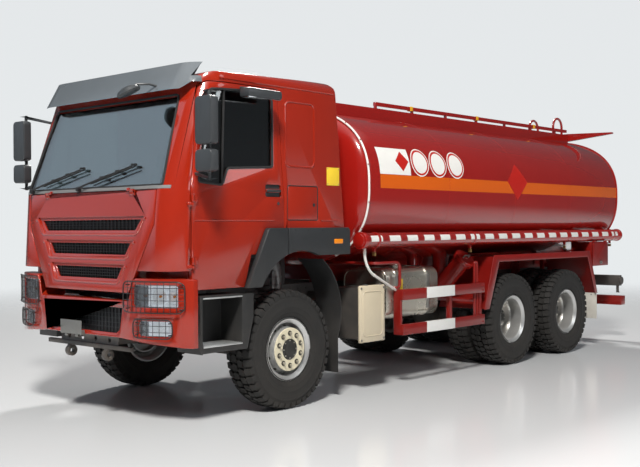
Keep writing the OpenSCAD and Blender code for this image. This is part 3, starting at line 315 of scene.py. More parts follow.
# One piece repeated in a row or round an axis: each copy is moved by the step and turned by the turn
def repeat_tree():
    tree = bpy.data.node_groups.new("repeat_in_a_row", "GeometryNodeTree")
    for name, kind in (("Piece", "Object"), ("Count", "Int"), ("Start", "Vector"), ("Step", "Vector"),
                       ("Turn", "Vector"), ("Finish", "Material")):
        tree.interface.new_socket(name, in_out="INPUT", socket_type="NodeSocket" + kind)
    tree.interface.new_socket("Geometry", in_out="OUTPUT", socket_type="NodeSocketGeometry")
    given = add_node(tree, "NodeGroupInput", {}).outputs
    line = add_node(tree, "GeometryNodeMeshLine", {
        "Count": given["Count"], "Start Location": given["Start"], "Offset": given["Step"],
    })
    item = add_node(tree, "GeometryNodeObjectInfo", {"Object": given["Piece"]})
    number = add_node(tree, "GeometryNodeInputIndex", {}).outputs[0]
    turned = add_node(tree, "ShaderNodeVectorMath", {0: given["Turn"], "Scale": number}, operation="SCALE")
    copies = add_node(tree, "GeometryNodeInstanceOnPoints", {
        "Points": line.outputs["Mesh"], "Instance": item.outputs["Geometry"], "Rotation": turned.outputs[0],
    })
    solid = add_node(tree, "GeometryNodeRealizeInstances", {0: copies.outputs[0]})
    painted = add_node(tree, "GeometryNodeSetMaterial", {
        "Geometry": solid.outputs[0], "Material": given["Finish"],
    })
    add_node(tree, "NodeGroupOutput", {0: painted.outputs[0]})
    return tree


repeating = repeat_tree()


# Shape with such copies of a small shape. A target shape gets them added
def repeated(shape, count, finish, start=(0, 0, 0), step=(0, 0, 0), turn=(0, 0, 0), target=None):
    one = new_object("one", to_mesh(shape, "one"))
    row = new_object("row", bpy.data.meshes.new("row"))
    array = row.modifiers.new("array", "NODES")
    array.node_group = repeating
    values = {"Piece": one, "Count": count, "Start": start, "Step": step, "Turn": turn, "Finish": finish}
    for socket in repeating.interface.items_tree:
        if socket.in_out == "INPUT":
            array[socket.identifier] = values[socket.name]
    target = target or bmesh.new()
    target.from_mesh(evaluated(row))
    bpy.data.objects.remove(row)
    bpy.data.objects.remove(one)
    return target


chassis_black = surface("chassis_black", (0.020, 0.020, 0.022), 0.45, patch=3, drift=0.3, grain=250,
                        depth=0.0003, dust=0.35)
bolt_steel = surface("bolt_steel", (0.28, 0.27, 0.26), 0.4, metal=0.9, patch=40, drift=0.3, grain=600,
                     dust=0.2)
soften("chassis_frame", 0.003, chassis_black)
rail_x = 0.43
rivets = bmesh.new()
for row_z in (0.83, 1.03):
    rivet = bmesh.new()
    add_rod(rivet, (0, 0, 0), (0.009, 0, 0), 0.013, 0.011, 10)
    repeated(rivet, 66, chassis_black, start=(rail_x, -1.0, row_z), step=(0, 0.118, 0), target=rivets)
place("frame_rivets", rivets, "chassis_paint", chassis_black, pair=True)

# Tyres. Ten moulded rubber tyres of one size with deep block tread, two in front and four pairs behind. The
# beads of each are seated on a steel rim, and road dust lies on the tread and in the sidewall's ribs.


# Solid turned about an axis, from (distance along it, radius) points. It closes on the axis or on itself
def revolve(shape, profile, sides=48, place=(0, 0, 0), axis=(1, 0, 0)):
    axis = Vector(axis).normalized()
    out = axis.orthogonal().normalized()
    other = axis.cross(out)
    turns = [2 * math.pi * i / sides for i in range(sides)]
    circle = [math.cos(a) * out + math.sin(a) * other for a in turns]
    rings = []
    for distance, radius in profile:
        middle = Vector(place) + axis * distance
        ways = circle if radius > 1e-6 else circle[:1]
        rings.append([shape.verts.new(middle + radius * way) for way in ways])
    pairs = list(zip(rings, rings[1:]))
    if len(rings[0]) > 1 and len(rings[-1]) > 1:
        pairs.append((rings[-1], rings[0]))
    for one, two in pairs:
        for i in range(sides):
            j = (i + 1) % sides
            corners = [one[i % len(one)], one[j % len(one)], two[j % len(two)], two[i % len(two)]]
            corners = list(dict.fromkeys(corners))
            if len(corners) > 2:
                shape.faces.new(corners)


# Faces between rows of corners that each close on themselves. The rows end in a face or join into a loop
def skin(shape, rows, loop=False, ends=True):
    rows = [[shape.verts.new(corner) for corner in row] for row in rows]
    for one, two in zip(rows, rows[1:] + rows[:1] if loop else rows[1:]):
        for k in range(len(one)):
            n = (k + 1) % len(one)
            shape.faces.new((one[k], one[n], two[n], two[k]))
    if ends and not loop:
        shape.faces.new(rows[0])
        shape.faces.new(rows[-1])
    return rows


rubber = surface("tyre_rubber", (0.012, 0.012, 0.012), 0.78, patch=7, drift=0.35, grain=300, depth=0.0005,
                 dust=0.05)
tyre_r = wheel_z
tread_r = 0.523
tyre_half = [
    (0.106, 0.2585), (0.1105, 0.2935), (0.128, 0.298), (0.136, 0.313), (0.1415, 0.335), (0.1435, 0.336),
    (0.1445, 0.343), (0.1435, 0.345), (0.1475, 0.380), (0.1490, 0.382), (0.1492, 0.390), (0.1482, 0.392),
    (0.1490, 0.425), (0.1465, 0.455), (0.1480, 0.457), (0.1455, 0.470), (0.1435, 0.471), (0.137, 0.497),
    (0.129, 0.513), (0.116, 0.521), (0.06, tread_r),
]
pitches = 42
inner_lug = [(0.004, -0.028), (0.066, -0.036), (0.072, 0.018), (0.034, 0.030), (0.010, 0.024)]
outer_lug = [(0.082, -0.030), (0.143, -0.022), (0.143, 0.030), (0.088, 0.036), (0.074, 0.006)]
lugs = bmesh.new()
for lug_side in (-1, 1):
    for outline in (inner_lug, outer_lug):
        middle_x = sum(x for x, s in outline) / len(outline)
        levels = []
        for spread, level_r, slope in ((1.06, 0.516, 0.8), (1.0, tyre_r, 0.45)):
            row = []
            for x, s in outline:
                lug_x = lug_side * (middle_x + (x - middle_x) * spread)
                around = (s * spread + (0.0408 if lug_side > 0 else 0)) / tyre_r
                radius = level_r - slope * max(0.0, x - 0.105)
                row.append((lug_x, radius * math.sin(around), radius * math.cos(around)))
            levels.append(row)
        skin(lugs, levels)
one_tyre = bmesh.new()
revolve(one_tyre, tyre_half + [(-x, r) for x, r in reversed(tyre_half)], 84)
repeated(lugs, pitches, rubber, turn=(2 * math.pi / pitches, 0, 0), target=one_tyre)
tyre_mesh = to_mesh(one_tyre, "one_tyre")

both_sides = (("left", 1), ("right", -1))
front_x, twin_x = 1.015, (0.748, 1.082)
wheels = [
    (v, kind % side_name, side_sign)
    for kind, v in (("front_%%s_%s", 0.0), ("rear_%%ss_1_%s", 3.825), ("rear_%%ss_2_%s", 5.175))
    for side_name, side_sign in both_sides
]
for wheel_v, kind, side_sign in wheels:
    shape = bmesh.new()
    for x in (twin_x if wheel_v else (front_x,)):
        copy = tyre_mesh.copy()
        copy.transform(Matrix.Translation((side_sign * x, wheel_v, wheel_z)))
        shape.from_mesh(copy)
        bpy.data.meshes.remove(copy)
    node = kind % "tyre"
    tyre = place(node + "_finished", shape, slot_of[node], rubber, frame["nodes"][node]["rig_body"], 30)
    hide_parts(node)

# Rims. Pressed steel discs welded into rolled barrels, painted silver. The front discs bulge outwards, the
# rear ones are bolted back to back inside the twin tyres, and ten nuts hold each to its hub.


# Faces of a finished piece that a test picks out by their middle get another finish
def repaint(made, finish, test):
    made.data.materials.append(finish)
    last = len(made.data.materials) - 1
    for polygon in made.data.polygons:
        if test(polygon.center - to_frame.translation):
            polygon.material_index = last


rim_silver = surface("rim_silver", (0.60, 0.60, 0.59), 0.30, metal=0.75, patch=9, drift=0.12, grain=500,
                     dust=0.05)
rim_grey = surface("rim_grey", (0.30, 0.29, 0.27), 0.42, metal=0.6, patch=12, drift=0.2, depth=0.0002,
                   dust=0.3)
flange_cream = surface("flange_cream", (0.66, 0.60, 0.44), 0.40, patch=15, drift=0.12, grain=500)
hub_dark = surface("hub_dark", (0.045, 0.043, 0.040), 0.45, metal=0.5, patch=20, drift=0.3, depth=0.0003)
nut_steel = surface("nut_steel", (0.55, 0.52, 0.45), 0.35, metal=0.9, patch=60, drift=0.3, grain=500)
nut_r = 0.147
dish_profile = [
    (0.134, 0.097), (0.134, 0.193), (0.130, 0.198), (0.106, 0.200), (0.012, 0.228), (-0.010, 0.252),
    (-0.022, 0.248),
    (0.0, 0.222), (0.090, 0.190), (0.118, 0.184), (0.118, 0.097),
]
cap_profile = [(-0.004, 0), (-0.004, 0.064), (0.004, 0.066), (0.010, 0.058), (0.012, 0.030), (0.012, 0)]
for wheel_v, kind, side_sign in wheels:
    node = kind % "rim"
    rim = soften(node, 0.0018, rim_silver, crease=32)
    body = frame["nodes"][node]["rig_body"]
    face_x, cap_x = (0.929, 1.037) if wheel_v else (front_x + 0.134, front_x + 0.136)
    # The nuts stand on near-black washer discs: painted shade of the recess round each nut
    hub_rows = [
        ("_washers", 10, hub_dark, [(face_x - 0.002, nut_r, face_x + 0.004, nut_r, 0.0235, 0.0235, 18)]),
        ("_nuts", 10, nut_steel, [(face_x, nut_r, face_x + 0.018, nut_r, 0.0150, 0.0140, 6),
                                  (face_x, nut_r, face_x + 0.026, nut_r, 0.0095, 0.0090, 10)]),
        ("_cap_bolts", 8, nut_steel, [(cap_x - 0.03, 0.080, cap_x + 0.002, 0.080, 0.007, 0.007, 6)]),
    ]

    def from_axis(point):
        return math.hypot(point.y - wheel_v, point.z - wheel_z)

    if wheel_v:
        repaint(rim, rim_grey, lambda p: from_axis(p) < 0.235)
        repaint(rim, hub_dark, lambda p: from_axis(p) < 0.122 and side_sign * p.x > 0.932)
    else:
        repaint(rim, hub_dark, lambda p: from_axis(p) < 0.108 and side_sign * p.x > front_x + 0.04)
        dish = bmesh.new()
        revolve(dish, dish_profile, 60, (side_sign * front_x, 0, wheel_z), (side_sign, 0, 0))
        dish = place(node + "_dish", dish, slot_of[node], rim_silver, body)
        repaint(dish, flange_cream, lambda p: side_sign * p.x > front_x + 0.128 and from_axis(p) > 0.098)
        # The dish's hand holes are not cut: near-black discs stand on it, painted shade in place of each
        # opening
        shade_disc = (front_x + 0.060, 0.195, front_x + 0.064, 0.2155, 0.016, 0.016, 16)
        hub_rows.insert(0, ("_hand_holes", 10, hub_dark, [shade_disc]))
    for suffix, count, finish, rods in hub_rows:
        shape = bmesh.new()
        for start_x, start_r, end_x, end_r, radius, end_radius, rod_sides in rods:
            add_rod(shape, (side_sign * start_x, 0, start_r), (side_sign * end_x, 0, end_r), radius,
                    end_radius, rod_sides)
        ring = repeated(shape, count, finish, start=(0, wheel_v, wheel_z), turn=(2 * math.pi / count, 0, 0))
        place(node + suffix, ring, slot_of[node], finish, body)
    cap = bmesh.new()
    revolve(cap, cap_profile, 32, (side_sign * cap_x, wheel_v, wheel_z), (side_sign, 0, 0))
    place(node + "_cap", cap, slot_of[node], hub_dark, body)

# Cab shell. Pressed and welded sheet steel in glossy orange-red enamel, with a raised bead round the
# sleeper panel, a hatch below it, rain gutters along the roof and a stamped crease along each side.


# Round bar bent along a path
def add_tube(shape, path, radius, sides=8, closed=False):
    path = [Vector(p) for p in path]
    count = len(path)
    turns = [2 * math.pi * k / sides for k in range(sides)]
    rows = []
    normal = None
    for i, point in enumerate(path):
        before = path[i - 1] if i or closed else point
        after = path[(i + 1) % count] if i < count - 1 or closed else point
        tangent = (after - before).normalized()
        if normal is None:
            normal = tangent.orthogonal().normalized()
        normal = (normal - normal.dot(tangent) * tangent).normalized()
        other = tangent.cross(normal)
        rows.append([point + radius * (math.cos(a) * normal + math.sin(a) * other) for a in turns])
    skin(shape, rows, closed)


# Points round a rectangle with rounded corners
def round_loop(low, high, r, steps=5):
    points = []
    right, left = high[0] - r, low[0] + r
    top, bottom = high[1] - r, low[1] + r
    for cx, cy, start in ((right, top, 0), (left, top, 90), (left, bottom, 180), (right, bottom, 270)):
        for i in range(steps + 1):
            a = math.radians(start + 90 * i / steps)
            points.append((cx + r * math.cos(a), cy + r * math.sin(a)))
    return points


# Closed outline with its corners rounded by about r
def eased(points, r=0.03, steps=4):
    done = []
    for i, corner in enumerate(points):
        corner = Vector(corner)
        before = Vector(points[i - 1])
        after = Vector(points[(i + 1) % len(points)])
        start = corner + (before - corner).normalized() * min(r, (before - corner).length * 0.45)
        end = corner + (after - corner).normalized() * min(r, (after - corner).length * 0.45)
        for k in range(steps + 1):
            t = k / steps
            done.append((1 - t) ** 2 * start + 2 * t * (1 - t) * corner + t * t * end)
    return done


# The cab's front face leans back from a line under the windscreen, and rounds into the sides
front_line, front_line_z = -1.362, 1.990
screen_lean, panel_lean = math.radians(19.93), math.radians(3.12)
corner_x, corner_round = 0.91, 0.24


# The cab's front face at x and z
def face_y(x, z):
    corner = max(0.0, abs(x) - corner_x)
    curve = corner_round - math.sqrt(max(0.0, corner_round ** 2 - corner ** 2))
    leans = (screen_lean, panel_lean)
    return max(front_line + (z - front_line_z) * math.tan(a) + curve / math.cos(a) for a in leans)


cab_paint = surface("cab_paint", (0.32, 0.017, 0.005), 0.24, coat=1.0, patch=1.1, drift=0.07, grain=260,
                    depth=0.00004, dust=0.03)
rubber_trim = surface("rubber_trim", (0.016, 0.016, 0.017), 0.55, patch=10, drift=0.2, grain=500,
                      depth=0.0002)
dark_plastic = surface("dark_plastic", (0.030, 0.033, 0.036), 0.42, patch=6, drift=0.2, grain=700,
                       depth=0.0002, dust=0.12)
soften("cab_shell", 0.006, cab_paint)
side_x = 1.150
shape = bmesh.new()
bead = [(side_x - 0.001, v, z) for v, z in round_loop((-0.050, 2.215), (0.345, 2.805), 0.06)]
add_tube(shape, bead, 0.009, 8, True)
gutter = [(1.147, v, 2.930) for v in (-0.84, -0.3, 0.2, 0.62)]
add_tube(shape, gutter, 0.009, 8)
crease = [(side_x - 0.003, v, 1.722) for v in (0.43, 0.55, 0.70)]
add_tube(shape, crease, 0.008, 8)
place("cab_beads", shape, "cab_paint", cab_paint, pair=True)
shape = bmesh.new()
hatch = [(side_x - 0.004, v, z) for v, z in round_loop((-0.018, 1.722), (0.393, 2.038), 0.022)]
add_tube(shape, hatch, 0.0045, 6, True)
place("hatch_seals", shape, "black_plastic", rubber_trim, pair=True)
shape = bmesh.new()
add_rod(shape, (1.145, 0.34, 1.865), (1.152, 0.34, 1.865), 0.016, sides=20, edge=0.002)
place("hatch_locks", shape, "black_plastic", rubber_trim, pair=True)

# Blank plates on the cab's side. A yellow enamelled steel plate is riveted behind each door.
# Nothing is written on it.
plate_yellow = surface("plate_yellow", (0.80, 0.55, 0.03), 0.45, patch=8, drift=0.06, grain=500,
                       depth=0.00005)
shape = bmesh.new()
rivets = bmesh.new()
add_block(shape, (1.149, 0.520, 2.055), (1.153, 0.700, 2.226), 0.0015)
for v in (0.532, 0.688):
    for z in (2.068, 2.213):
        add_rod(rivets, (1.152, v, z), (1.156, v, z), 0.006, 0.004, 12)
place("side_plates", shape, "cream", plate_yellow, pair=True)
place("side_plate_rivets", rivets, "alloy", bolt_steel, pair=True)

# Front panel. One steel pressing hinged below the windscreen, with three tapered openings backed by black
# mesh and a rolled lip that runs under each of them.
soften("front_panel", 0.005, cab_paint)
panel_slots = [
    [(-0.735, 1.730), (0.735, 1.730), (0.660, 1.640), (-0.660, 1.640)],
    [(-0.600, 1.530), (0.600, 1.530), (0.535, 1.432), (-0.535, 1.432)],
    [(-0.495, 1.322), (0.495, 1.322), (0.435, 1.225), (-0.435, 1.225)],
]
mesh_black = surface("mesh_black", (0.012, 0.012, 0.013), 0.5, patch=20, drift=0.2, grain=600, depth=0.0003)
backing = bmesh.new()
lips = bmesh.new()
fins = bmesh.new()
for (left_top, right_top, right_low, left_low) in panel_slots:
    high_z, low_z = left_top[1], left_low[1]
    half_top, half_low = right_top[0], right_low[0]
    add_block(backing, (-half_top - 0.02, face_y(0, high_z) + 0.041, low_z - 0.02),
              (half_top + 0.02, face_y(0, high_z) + 0.045, high_z + 0.02))
    for row in range(1, 4):
        z = low_z + (high_z - low_z) * row / 4
        half = half_low + (half_top - half_low) * row / 4
        add_block(fins, (-half - 0.01, face_y(0, z) + 0.026, z - 0.003),
                  (half + 0.01, face_y(0, z) + 0.042, z + 0.003), 0.001)
    for x_step in range(-12, 13):
        x = x_step * half_low / 12.5
        add_block(fins, (x - 0.003, face_y(0, high_z) + 0.028, low_z),
                  (x + 0.003, face_y(0, high_z) + 0.042, high_z))
    path = [(half_low + 0.045, low_z - 0.036), (half_top + 0.05, high_z + 0.002),
            (half_top + 0.085, high_z + 0.01)]
    path = [(-x, z) for x, z in reversed(path)] + path
    bent = []
    for i, point in enumerate(path):
        if 0 < i < len(path) - 1:
            bent += [tuple(p) for p in eased([path[i - 1], point, path[i + 1]], 0.035)[5:10]]
        else:
            bent.append(point)
    dense = []
    for one, two in zip(bent, bent[1:]):
        steps = max(1, int(abs(two[0] - one[0]) / 0.1))
        for k in range(steps):
            t = k / steps
            dense.append((one[0] + (two[0] - one[0]) * t, one[1] + (two[1] - one[1]) * t))
    dense.append(bent[-1])
    add_tube(lips, [(x, face_y(x, z) + 0.004, z) for x, z in dense], 0.013, 10)
place("panel_mesh_backing", backing, "black_plastic", mesh_black, "grille_panel")
place("panel_mesh", fins, "black_plastic", mesh_black, "grille_panel")
place("panel_lips", lips, "cab_paint", cab_paint, "grille_panel")

# Glazing. Laminated windscreen and toughened side glass, faintly green.
# Each pane is held in a black rubber seal.


def glass_finish(name, tint, shine):
    made = bpy.data.materials.new(name)
    made.use_nodes = True
    tree = made.node_tree
    tree.nodes.remove(tree.nodes["Principled BSDF"])
    clear = add_node(tree, "ShaderNodeBsdfTransparent", {"Color": (*tint, 1)})
    gloss = add_node(tree, "ShaderNodeBsdfGlossy", {"Roughness": 0.02})
    facing = add_node(tree, "ShaderNodeLayerWeight", {"Blend": 0.35})
    share = add_node(tree, "ShaderNodeMapRange", {
        "Value": facing.outputs["Fresnel"], "To Min": shine, "To Max": 0.9,
    })
    both = add_node(tree, "ShaderNodeMixShader", {
        "Fac": share.outputs["Result"], 1: clear.outputs[0], 2: gloss.outputs[0],
    })
    feed(tree, tree.nodes["Material Output"], {"Surface": both.outputs[0]})
    return made


screen_glass = glass_finish("screen_glass", (0.80, 0.87, 0.86), 0.13)
door_glass = glass_finish("door_glass", (0.50, 0.56, 0.56), 0.12)
for node, finish in (("windscreen", screen_glass), ("door_glass_left", door_glass),
                     ("door_glass_right", door_glass)):
    mesh = frame["nodes"][node].data
    mesh.materials.clear()
    mesh.materials.append(finish)
    mesh.set_sharp_from_angle(angle=math.radians(40))
screen_loop = [
    (-0.985, 2.012), (0.985, 2.012), (0.992, 2.030), (0.905, 2.760), (0.880, 2.785), (-0.880, 2.785),
    (-0.905, 2.760), (-0.992, 2.030),
]


# Straight runs split so that a band can follow the curved face
def split_runs(points, longest=0.08):
    done = []
    for i, one in enumerate(points):
        two = points[(i + 1) % len(points)]
        steps = max(1, math.ceil(math.dist(one, two) / longest))
        run = [(two[axis] - one[axis]) / steps for axis in (0, 1)]
        done += [(one[0] + run[0] * k, one[1] + run[1] * k) for k in range(steps)]
    return done


shape = bmesh.new()
seal_path = split_runs([tuple(p) for p in eased(screen_loop, 0.03)])
add_tube(shape, [(x, face_y(x, z) + 0.003, z) for x, z in seal_path], 0.012, 8, True)
place("windscreen_seal", shape, "black_plastic", rubber_trim)
window_loop = [
    (-1.085, 2.053), (-1.078, 2.090), (-0.935, 2.812), (-0.915, 2.830), (-0.225, 2.866), (-0.212, 2.850),
    (-0.212, 2.210), (-0.225, 2.196), (-0.745, 2.167), (-0.765, 2.150), (-0.810, 2.035), (-0.830, 2.021),
    (-1.070, 2.038),
]


# The cab's side face at a place along the vehicle and a height, where the front corner rounds
def side_face_x(v, z):
    lean = screen_lean if z > front_line_z else panel_lean
    inward = (v - front_line - (z - front_line_z) * math.tan(lean)) * math.cos(lean)
    if inward >= corner_round:
        return side_x
    return corner_x + math.sqrt(max(0.0, corner_round ** 2 - (corner_round - inward) ** 2))


for side_name, side_sign in both_sides:
    shape = bmesh.new()
    path = split_runs([tuple(p) for p in eased(window_loop, 0.02)], 0.05)
    add_tube(shape, [(side_sign * (side_face_x(v, z) - 0.004), v, z) for v, z in path], 0.011, 8, True)
    rear_edge = [(side_sign * (side_x - 0.012), -0.815 + (z - 2.04) * 0.04, z) for z in (2.04, 2.4, 2.834)]
    add_tube(shape, rear_edge, 0.010)
    place("window_seal_" + side_name, shape, "black_plastic", rubber_trim, side_name + "_door")

# Cowl and wipers. A grey plastic cowl closes the gap under the windscreen.
# Two pantograph wipers with rubber blades rest on it.
cowl_grey = surface("cowl_grey", (0.20, 0.20, 0.20), 0.5, patch=5, drift=0.15, grain=700, depth=0.0003,
                    dust=0.1)
shape = bmesh.new()
edge_line = ((1.983, -0.003), (2.006, -0.009), (2.010, -0.007), (2.010, 0.006), (1.983, 0.006))
columns = [x / 1000 for x in range(-1060, 1061, 53)]
skin(shape, [[(x, face_y(x, z) + off, z) for z, off in edge_line] for x in columns])
place("cowl_strip", shape, "grey_plastic", cowl_grey)
soften("wipers", 0.0015, rubber_trim)
shape = bmesh.new()
for x in (-0.880, -0.130):
    for reach in (0.16, 0.36, 0.56):
        u = x + 0.150 + reach
        rise = 0.058 + 0.140 * reach / 0.57
        y = face_y(u, 2.008 + rise)
        add_block(shape, (u - 0.03, y - 0.035, 2.008 + rise * 0.96 - 0.006),
                  (u + 0.03, y - 0.012, 2.008 + rise * 0.96 + 0.012), 0.003)
    start = Vector((x + 0.14, face_y(x + 0.14, 2.06) - 0.012, 2.052))
    end = Vector((x + 0.73, face_y(x + 0.73, 2.19) - 0.012, 2.186))
    bow = [Vector((0, 0.004 * math.sin(math.pi * k / 8), 0)) for k in range(9)]
    add_tube(shape, [start.lerp(end, k / 8) + bow[k] for k in range(9)], 0.007, 6)
    add_rod(shape, (x, face_y(x, 2.008) - 0.045, 2.008), (x, face_y(x, 2.008) + 0.002, 2.008), 0.020, 0.026,
            16, 0.003)
place("wiper_blades", shape, "black_plastic", rubber_trim)

# Sun visor. A smoked acrylic sheet screwed to four brackets over the windscreen.
# A row of small amber marker lamps stands on black bases along it.
visor_smoke = surface("visor_smoke", (0.13, 0.148, 0.165), 0.18, coat=1.0, patch=1.5, drift=0.12, grain=120,
                      depth=0.00003)
soften("sun_visor", 0.002, visor_smoke)
amber_lens = surface("amber_lens", (0.80, 0.24, 0.01), 0.12, coat=1.0, patch=30, drift=0.1, grain=300,
                     depth=0.0002)
shape = bmesh.new()
lenses = bmesh.new()
for x in (-0.78, -0.40, 0.0, 0.40, 0.78):
    add_block(shape, (x - 0.050, -0.990, 2.983), (x + 0.050, -0.935, 3.003), 0.005)
    add_block(lenses, (x - 0.040, -0.996, 2.987), (x + 0.040, -0.950, 3.010), 0.005)
place("marker_lamp_bases", shape, "black_plastic", dark_plastic)
place("marker_lamps", lenses, "lamp_glass", amber_lens)
screws = bmesh.new()
for x in (-0.90, -0.32, 0.32, 0.90):
    for dz in (0.0, 0.035):
        place_v = -1.075 + dz * 0.577
        add_rod(screws, (x, place_v - 0.040, 2.905 + dz), (x, place_v - 0.030, 2.902 + dz), 0.009, sides=12)
place("visor_screws", screws, "alloy", bolt_steel)

# Doors. Double-skinned steel doors in the cab's enamel. Each has a recessed pull handle with a lock under
# it, a stamped crease at the height of the wheel arch's flare, and rubber round its edge.
for side_name, side_sign in both_sides:
    soften("door_" + side_name, 0.004, cab_paint)
    shape = bmesh.new()
    crease = [(side_sign * (side_face_x(v, 1.722) - 0.003), v, 1.722) for v in
              (-1.13, -1.05, -0.98, -0.90, -0.8, -0.6, -0.42, -0.20)]
    add_tube(shape, crease, 0.009, 8)
    place("door_crease_" + side_name, shape, "cab_paint", cab_paint, side_name + "_door")
    shape = bmesh.new()
    low_x, high_x = sorted((side_sign * 1.128, side_sign * 1.134))
    add_block(shape, (low_x, -0.297, 1.932), (high_x, -0.108, 2.038))
    add_rod(shape, (side_sign * 1.146, -0.139, 1.872), (side_sign * 1.153, -0.139, 1.872), 0.015, sides=20,
            edge=0.002)
    place("door_lock_" + side_name, shape, "black_plastic", dark_plastic, side_name + "_door")
    shape = bmesh.new()
    grip = ((1.150, -0.285), (1.163, -0.270), (1.166, -0.20), (1.163, -0.135), (1.150, -0.120))
    add_tube(shape, [(side_sign * x, v, 1.985) for x, v in grip], 0.013, 10)
    place("door_grip_" + side_name, shape, "black_plastic", dark_plastic, side_name + "_door")

# Bumper. A deep steel bumper in the cab's enamel, wrapped round both corners. It carries the lamps, black
# wire guards over them, an air intake with black mesh and a blank plate on a grey bracket.


# The bumper's front face at x
def bumper_face(x):
    plan = [(0.0, -1.440), (0.600, -1.440), (0.900, -1.418), (1.180, -1.290), (1.240, -1.224),
            (1.260, -1.172)]
    for (x0, v0), (x1, v1) in zip(plan, plan[1:]):
        if abs(x) <= x1:
            return v0 + (v1 - v0) * (abs(x) - x0) / (x1 - x0)
    return -1.172


soften("front_bumper", 0.007, cab_paint)
shape = bmesh.new()
add_block(shape, (-0.60, -1.385, 0.755), (0.60, -1.380, 1.000))
for k in range(-11, 12):
    add_block(shape, (k * 0.048 - 0.003, -1.393, 0.765), (k * 0.048 + 0.003, -1.384, 0.99))
for z in (0.81, 0.85, 0.89, 0.93):
    add_block(shape, (-0.56, -1.395, z - 0.003), (0.56, -1.384, z + 0.003))
place("intake_mesh", shape, "black_plastic", mesh_black)
bracket_grey = surface("bracket_grey", (0.20, 0.20, 0.19), 0.42, metal=0.5, patch=12, drift=0.15, grain=500,
                       depth=0.0002, dust=0.2)
shape = bmesh.new()
add_block(shape, (-0.280, -1.478, 0.728), (0.041, -1.474, 0.850), 0.001)
for x in (-0.262, 0.023):
    add_block(shape, (x - 0.014, -1.474, 0.722), (x + 0.014, -1.440, 0.765), 0.002)
    add_rod(shape, (x, -1.482, 0.792), (x, -1.472, 0.792), 0.007, sides=6)
for x in (-0.20, -0.04):
    add_block(shape, (x - 0.020, -1.474, 0.705), (x + 0.020, -1.452, 0.735), 0.003)
place("front_plate_blank", shape, "alloy", bracket_grey)

# Lamps. Headlamps and fog lamps with clear covers over bright reflector bowls with a faint painted glow, a
# turn lamp with an amber bulb in each headlamp, set flush into the bumper's corners.
lamp_cover = glass_finish("lamp_cover", (0.93, 0.95, 0.95), 0.06)
lamp_bright_painted_glow = surface("lamp_bright_painted_glow", (0.90, 0.90, 0.91), 0.22, metal=0.25, patch=25, drift=0.1, grain=90,
                      depth=0.0012)
# The reflector finish glows faintly though the lamps are off: painted light that brightens the shaded bowls
painted_glow_shader = lamp_bright_painted_glow.node_tree.nodes["Principled BSDF"]
painted_glow_shader.inputs["Emission Color"].default_value = (0.85, 0.90, 1.0, 1)
painted_glow_shader.inputs["Emission Strength"].default_value = 0.22
corner_r = 0.024
bowl_profile = [(0.0, 0), (0.002, 0.30), (0.012, 0.62), (0.030, 0.95), (0.036, 1), (0.036, 1.06),
                (-0.004, 1.06), (-0.004, 0)]
bulb_profile = [(-0.002, 0), (-0.002, 0.010), (0.022, 0.012), (0.030, 0.007), (0.032, 0)]
lamps = (
    ("head", (0.724, 1.004), (1.140, 1.186), ((0.815, 0.072), (0.965, 0.062), (1.080, 0.045)), amber_lens),
    ("fog", (0.782, 0.770), (1.088, 0.890), ((1.000, 0.052), (0.845, 0.040)), lamp_bright_painted_glow),
)
for side_name, side_sign in reversed(both_sides):
    for kind, (low_x, low_z), (high_x, high_z), bowl_spots, bulb_finish in lamps:
        cover_rows = []
        tray_rows = []
        for k in range(15):
            x = low_x + (high_x - low_x) * k / 14
            y = bumper_face(x)
            inset = max(0.0, corner_r - min(x - low_x, high_x - x))
            cut = corner_r - math.sqrt(max(0.0, corner_r ** 2 - inset ** 2))
            cover_rows.append([(side_sign * x, y + off, z) for z, off in (
                (low_z + cut, 0.004), (high_z - cut, 0.004), (high_z - cut, 0.009), (low_z + cut, 0.009),
            )])
            tray_rows.append([(side_sign * x, y + off, z) for z, off in (
                (low_z + 0.002, 0.012), (low_z + 0.018, 0.052), (high_z - 0.018, 0.052),
                (high_z - 0.002, 0.012), (high_z - 0.002, 0.086), (low_z + 0.002, 0.086),
            )])
        bowls = bmesh.new()
        bulbs = bmesh.new()
        for x, radius in bowl_spots:
            slope = (bumper_face(x + 0.02) - bumper_face(x - 0.02)) / 0.04
            facing = Vector((side_sign * slope, -1, 0)).normalized()
            seat = (side_sign * x, bumper_face(x) + 0.056, (low_z + high_z) / 2)
            revolve(bowls, [(out, radius * share) for out, share in bowl_profile], 28, seat, facing)
            revolve(bulbs, bulb_profile, 14, seat, facing)
        cover = bmesh.new()
        skin(cover, cover_rows)
        tray = bmesh.new()
        skin(tray, tray_rows)
        for part, shape, finish in (("cover", cover, lamp_cover), ("tray", tray, lamp_bright_painted_glow),
                                    ("bowls", bowls, lamp_bright_painted_glow), ("bulbs", bulbs, bulb_finish)):
            place(f"{kind}lamp_{part}_{side_name}", shape, "lamp_glass", finish)
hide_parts("headlamps")

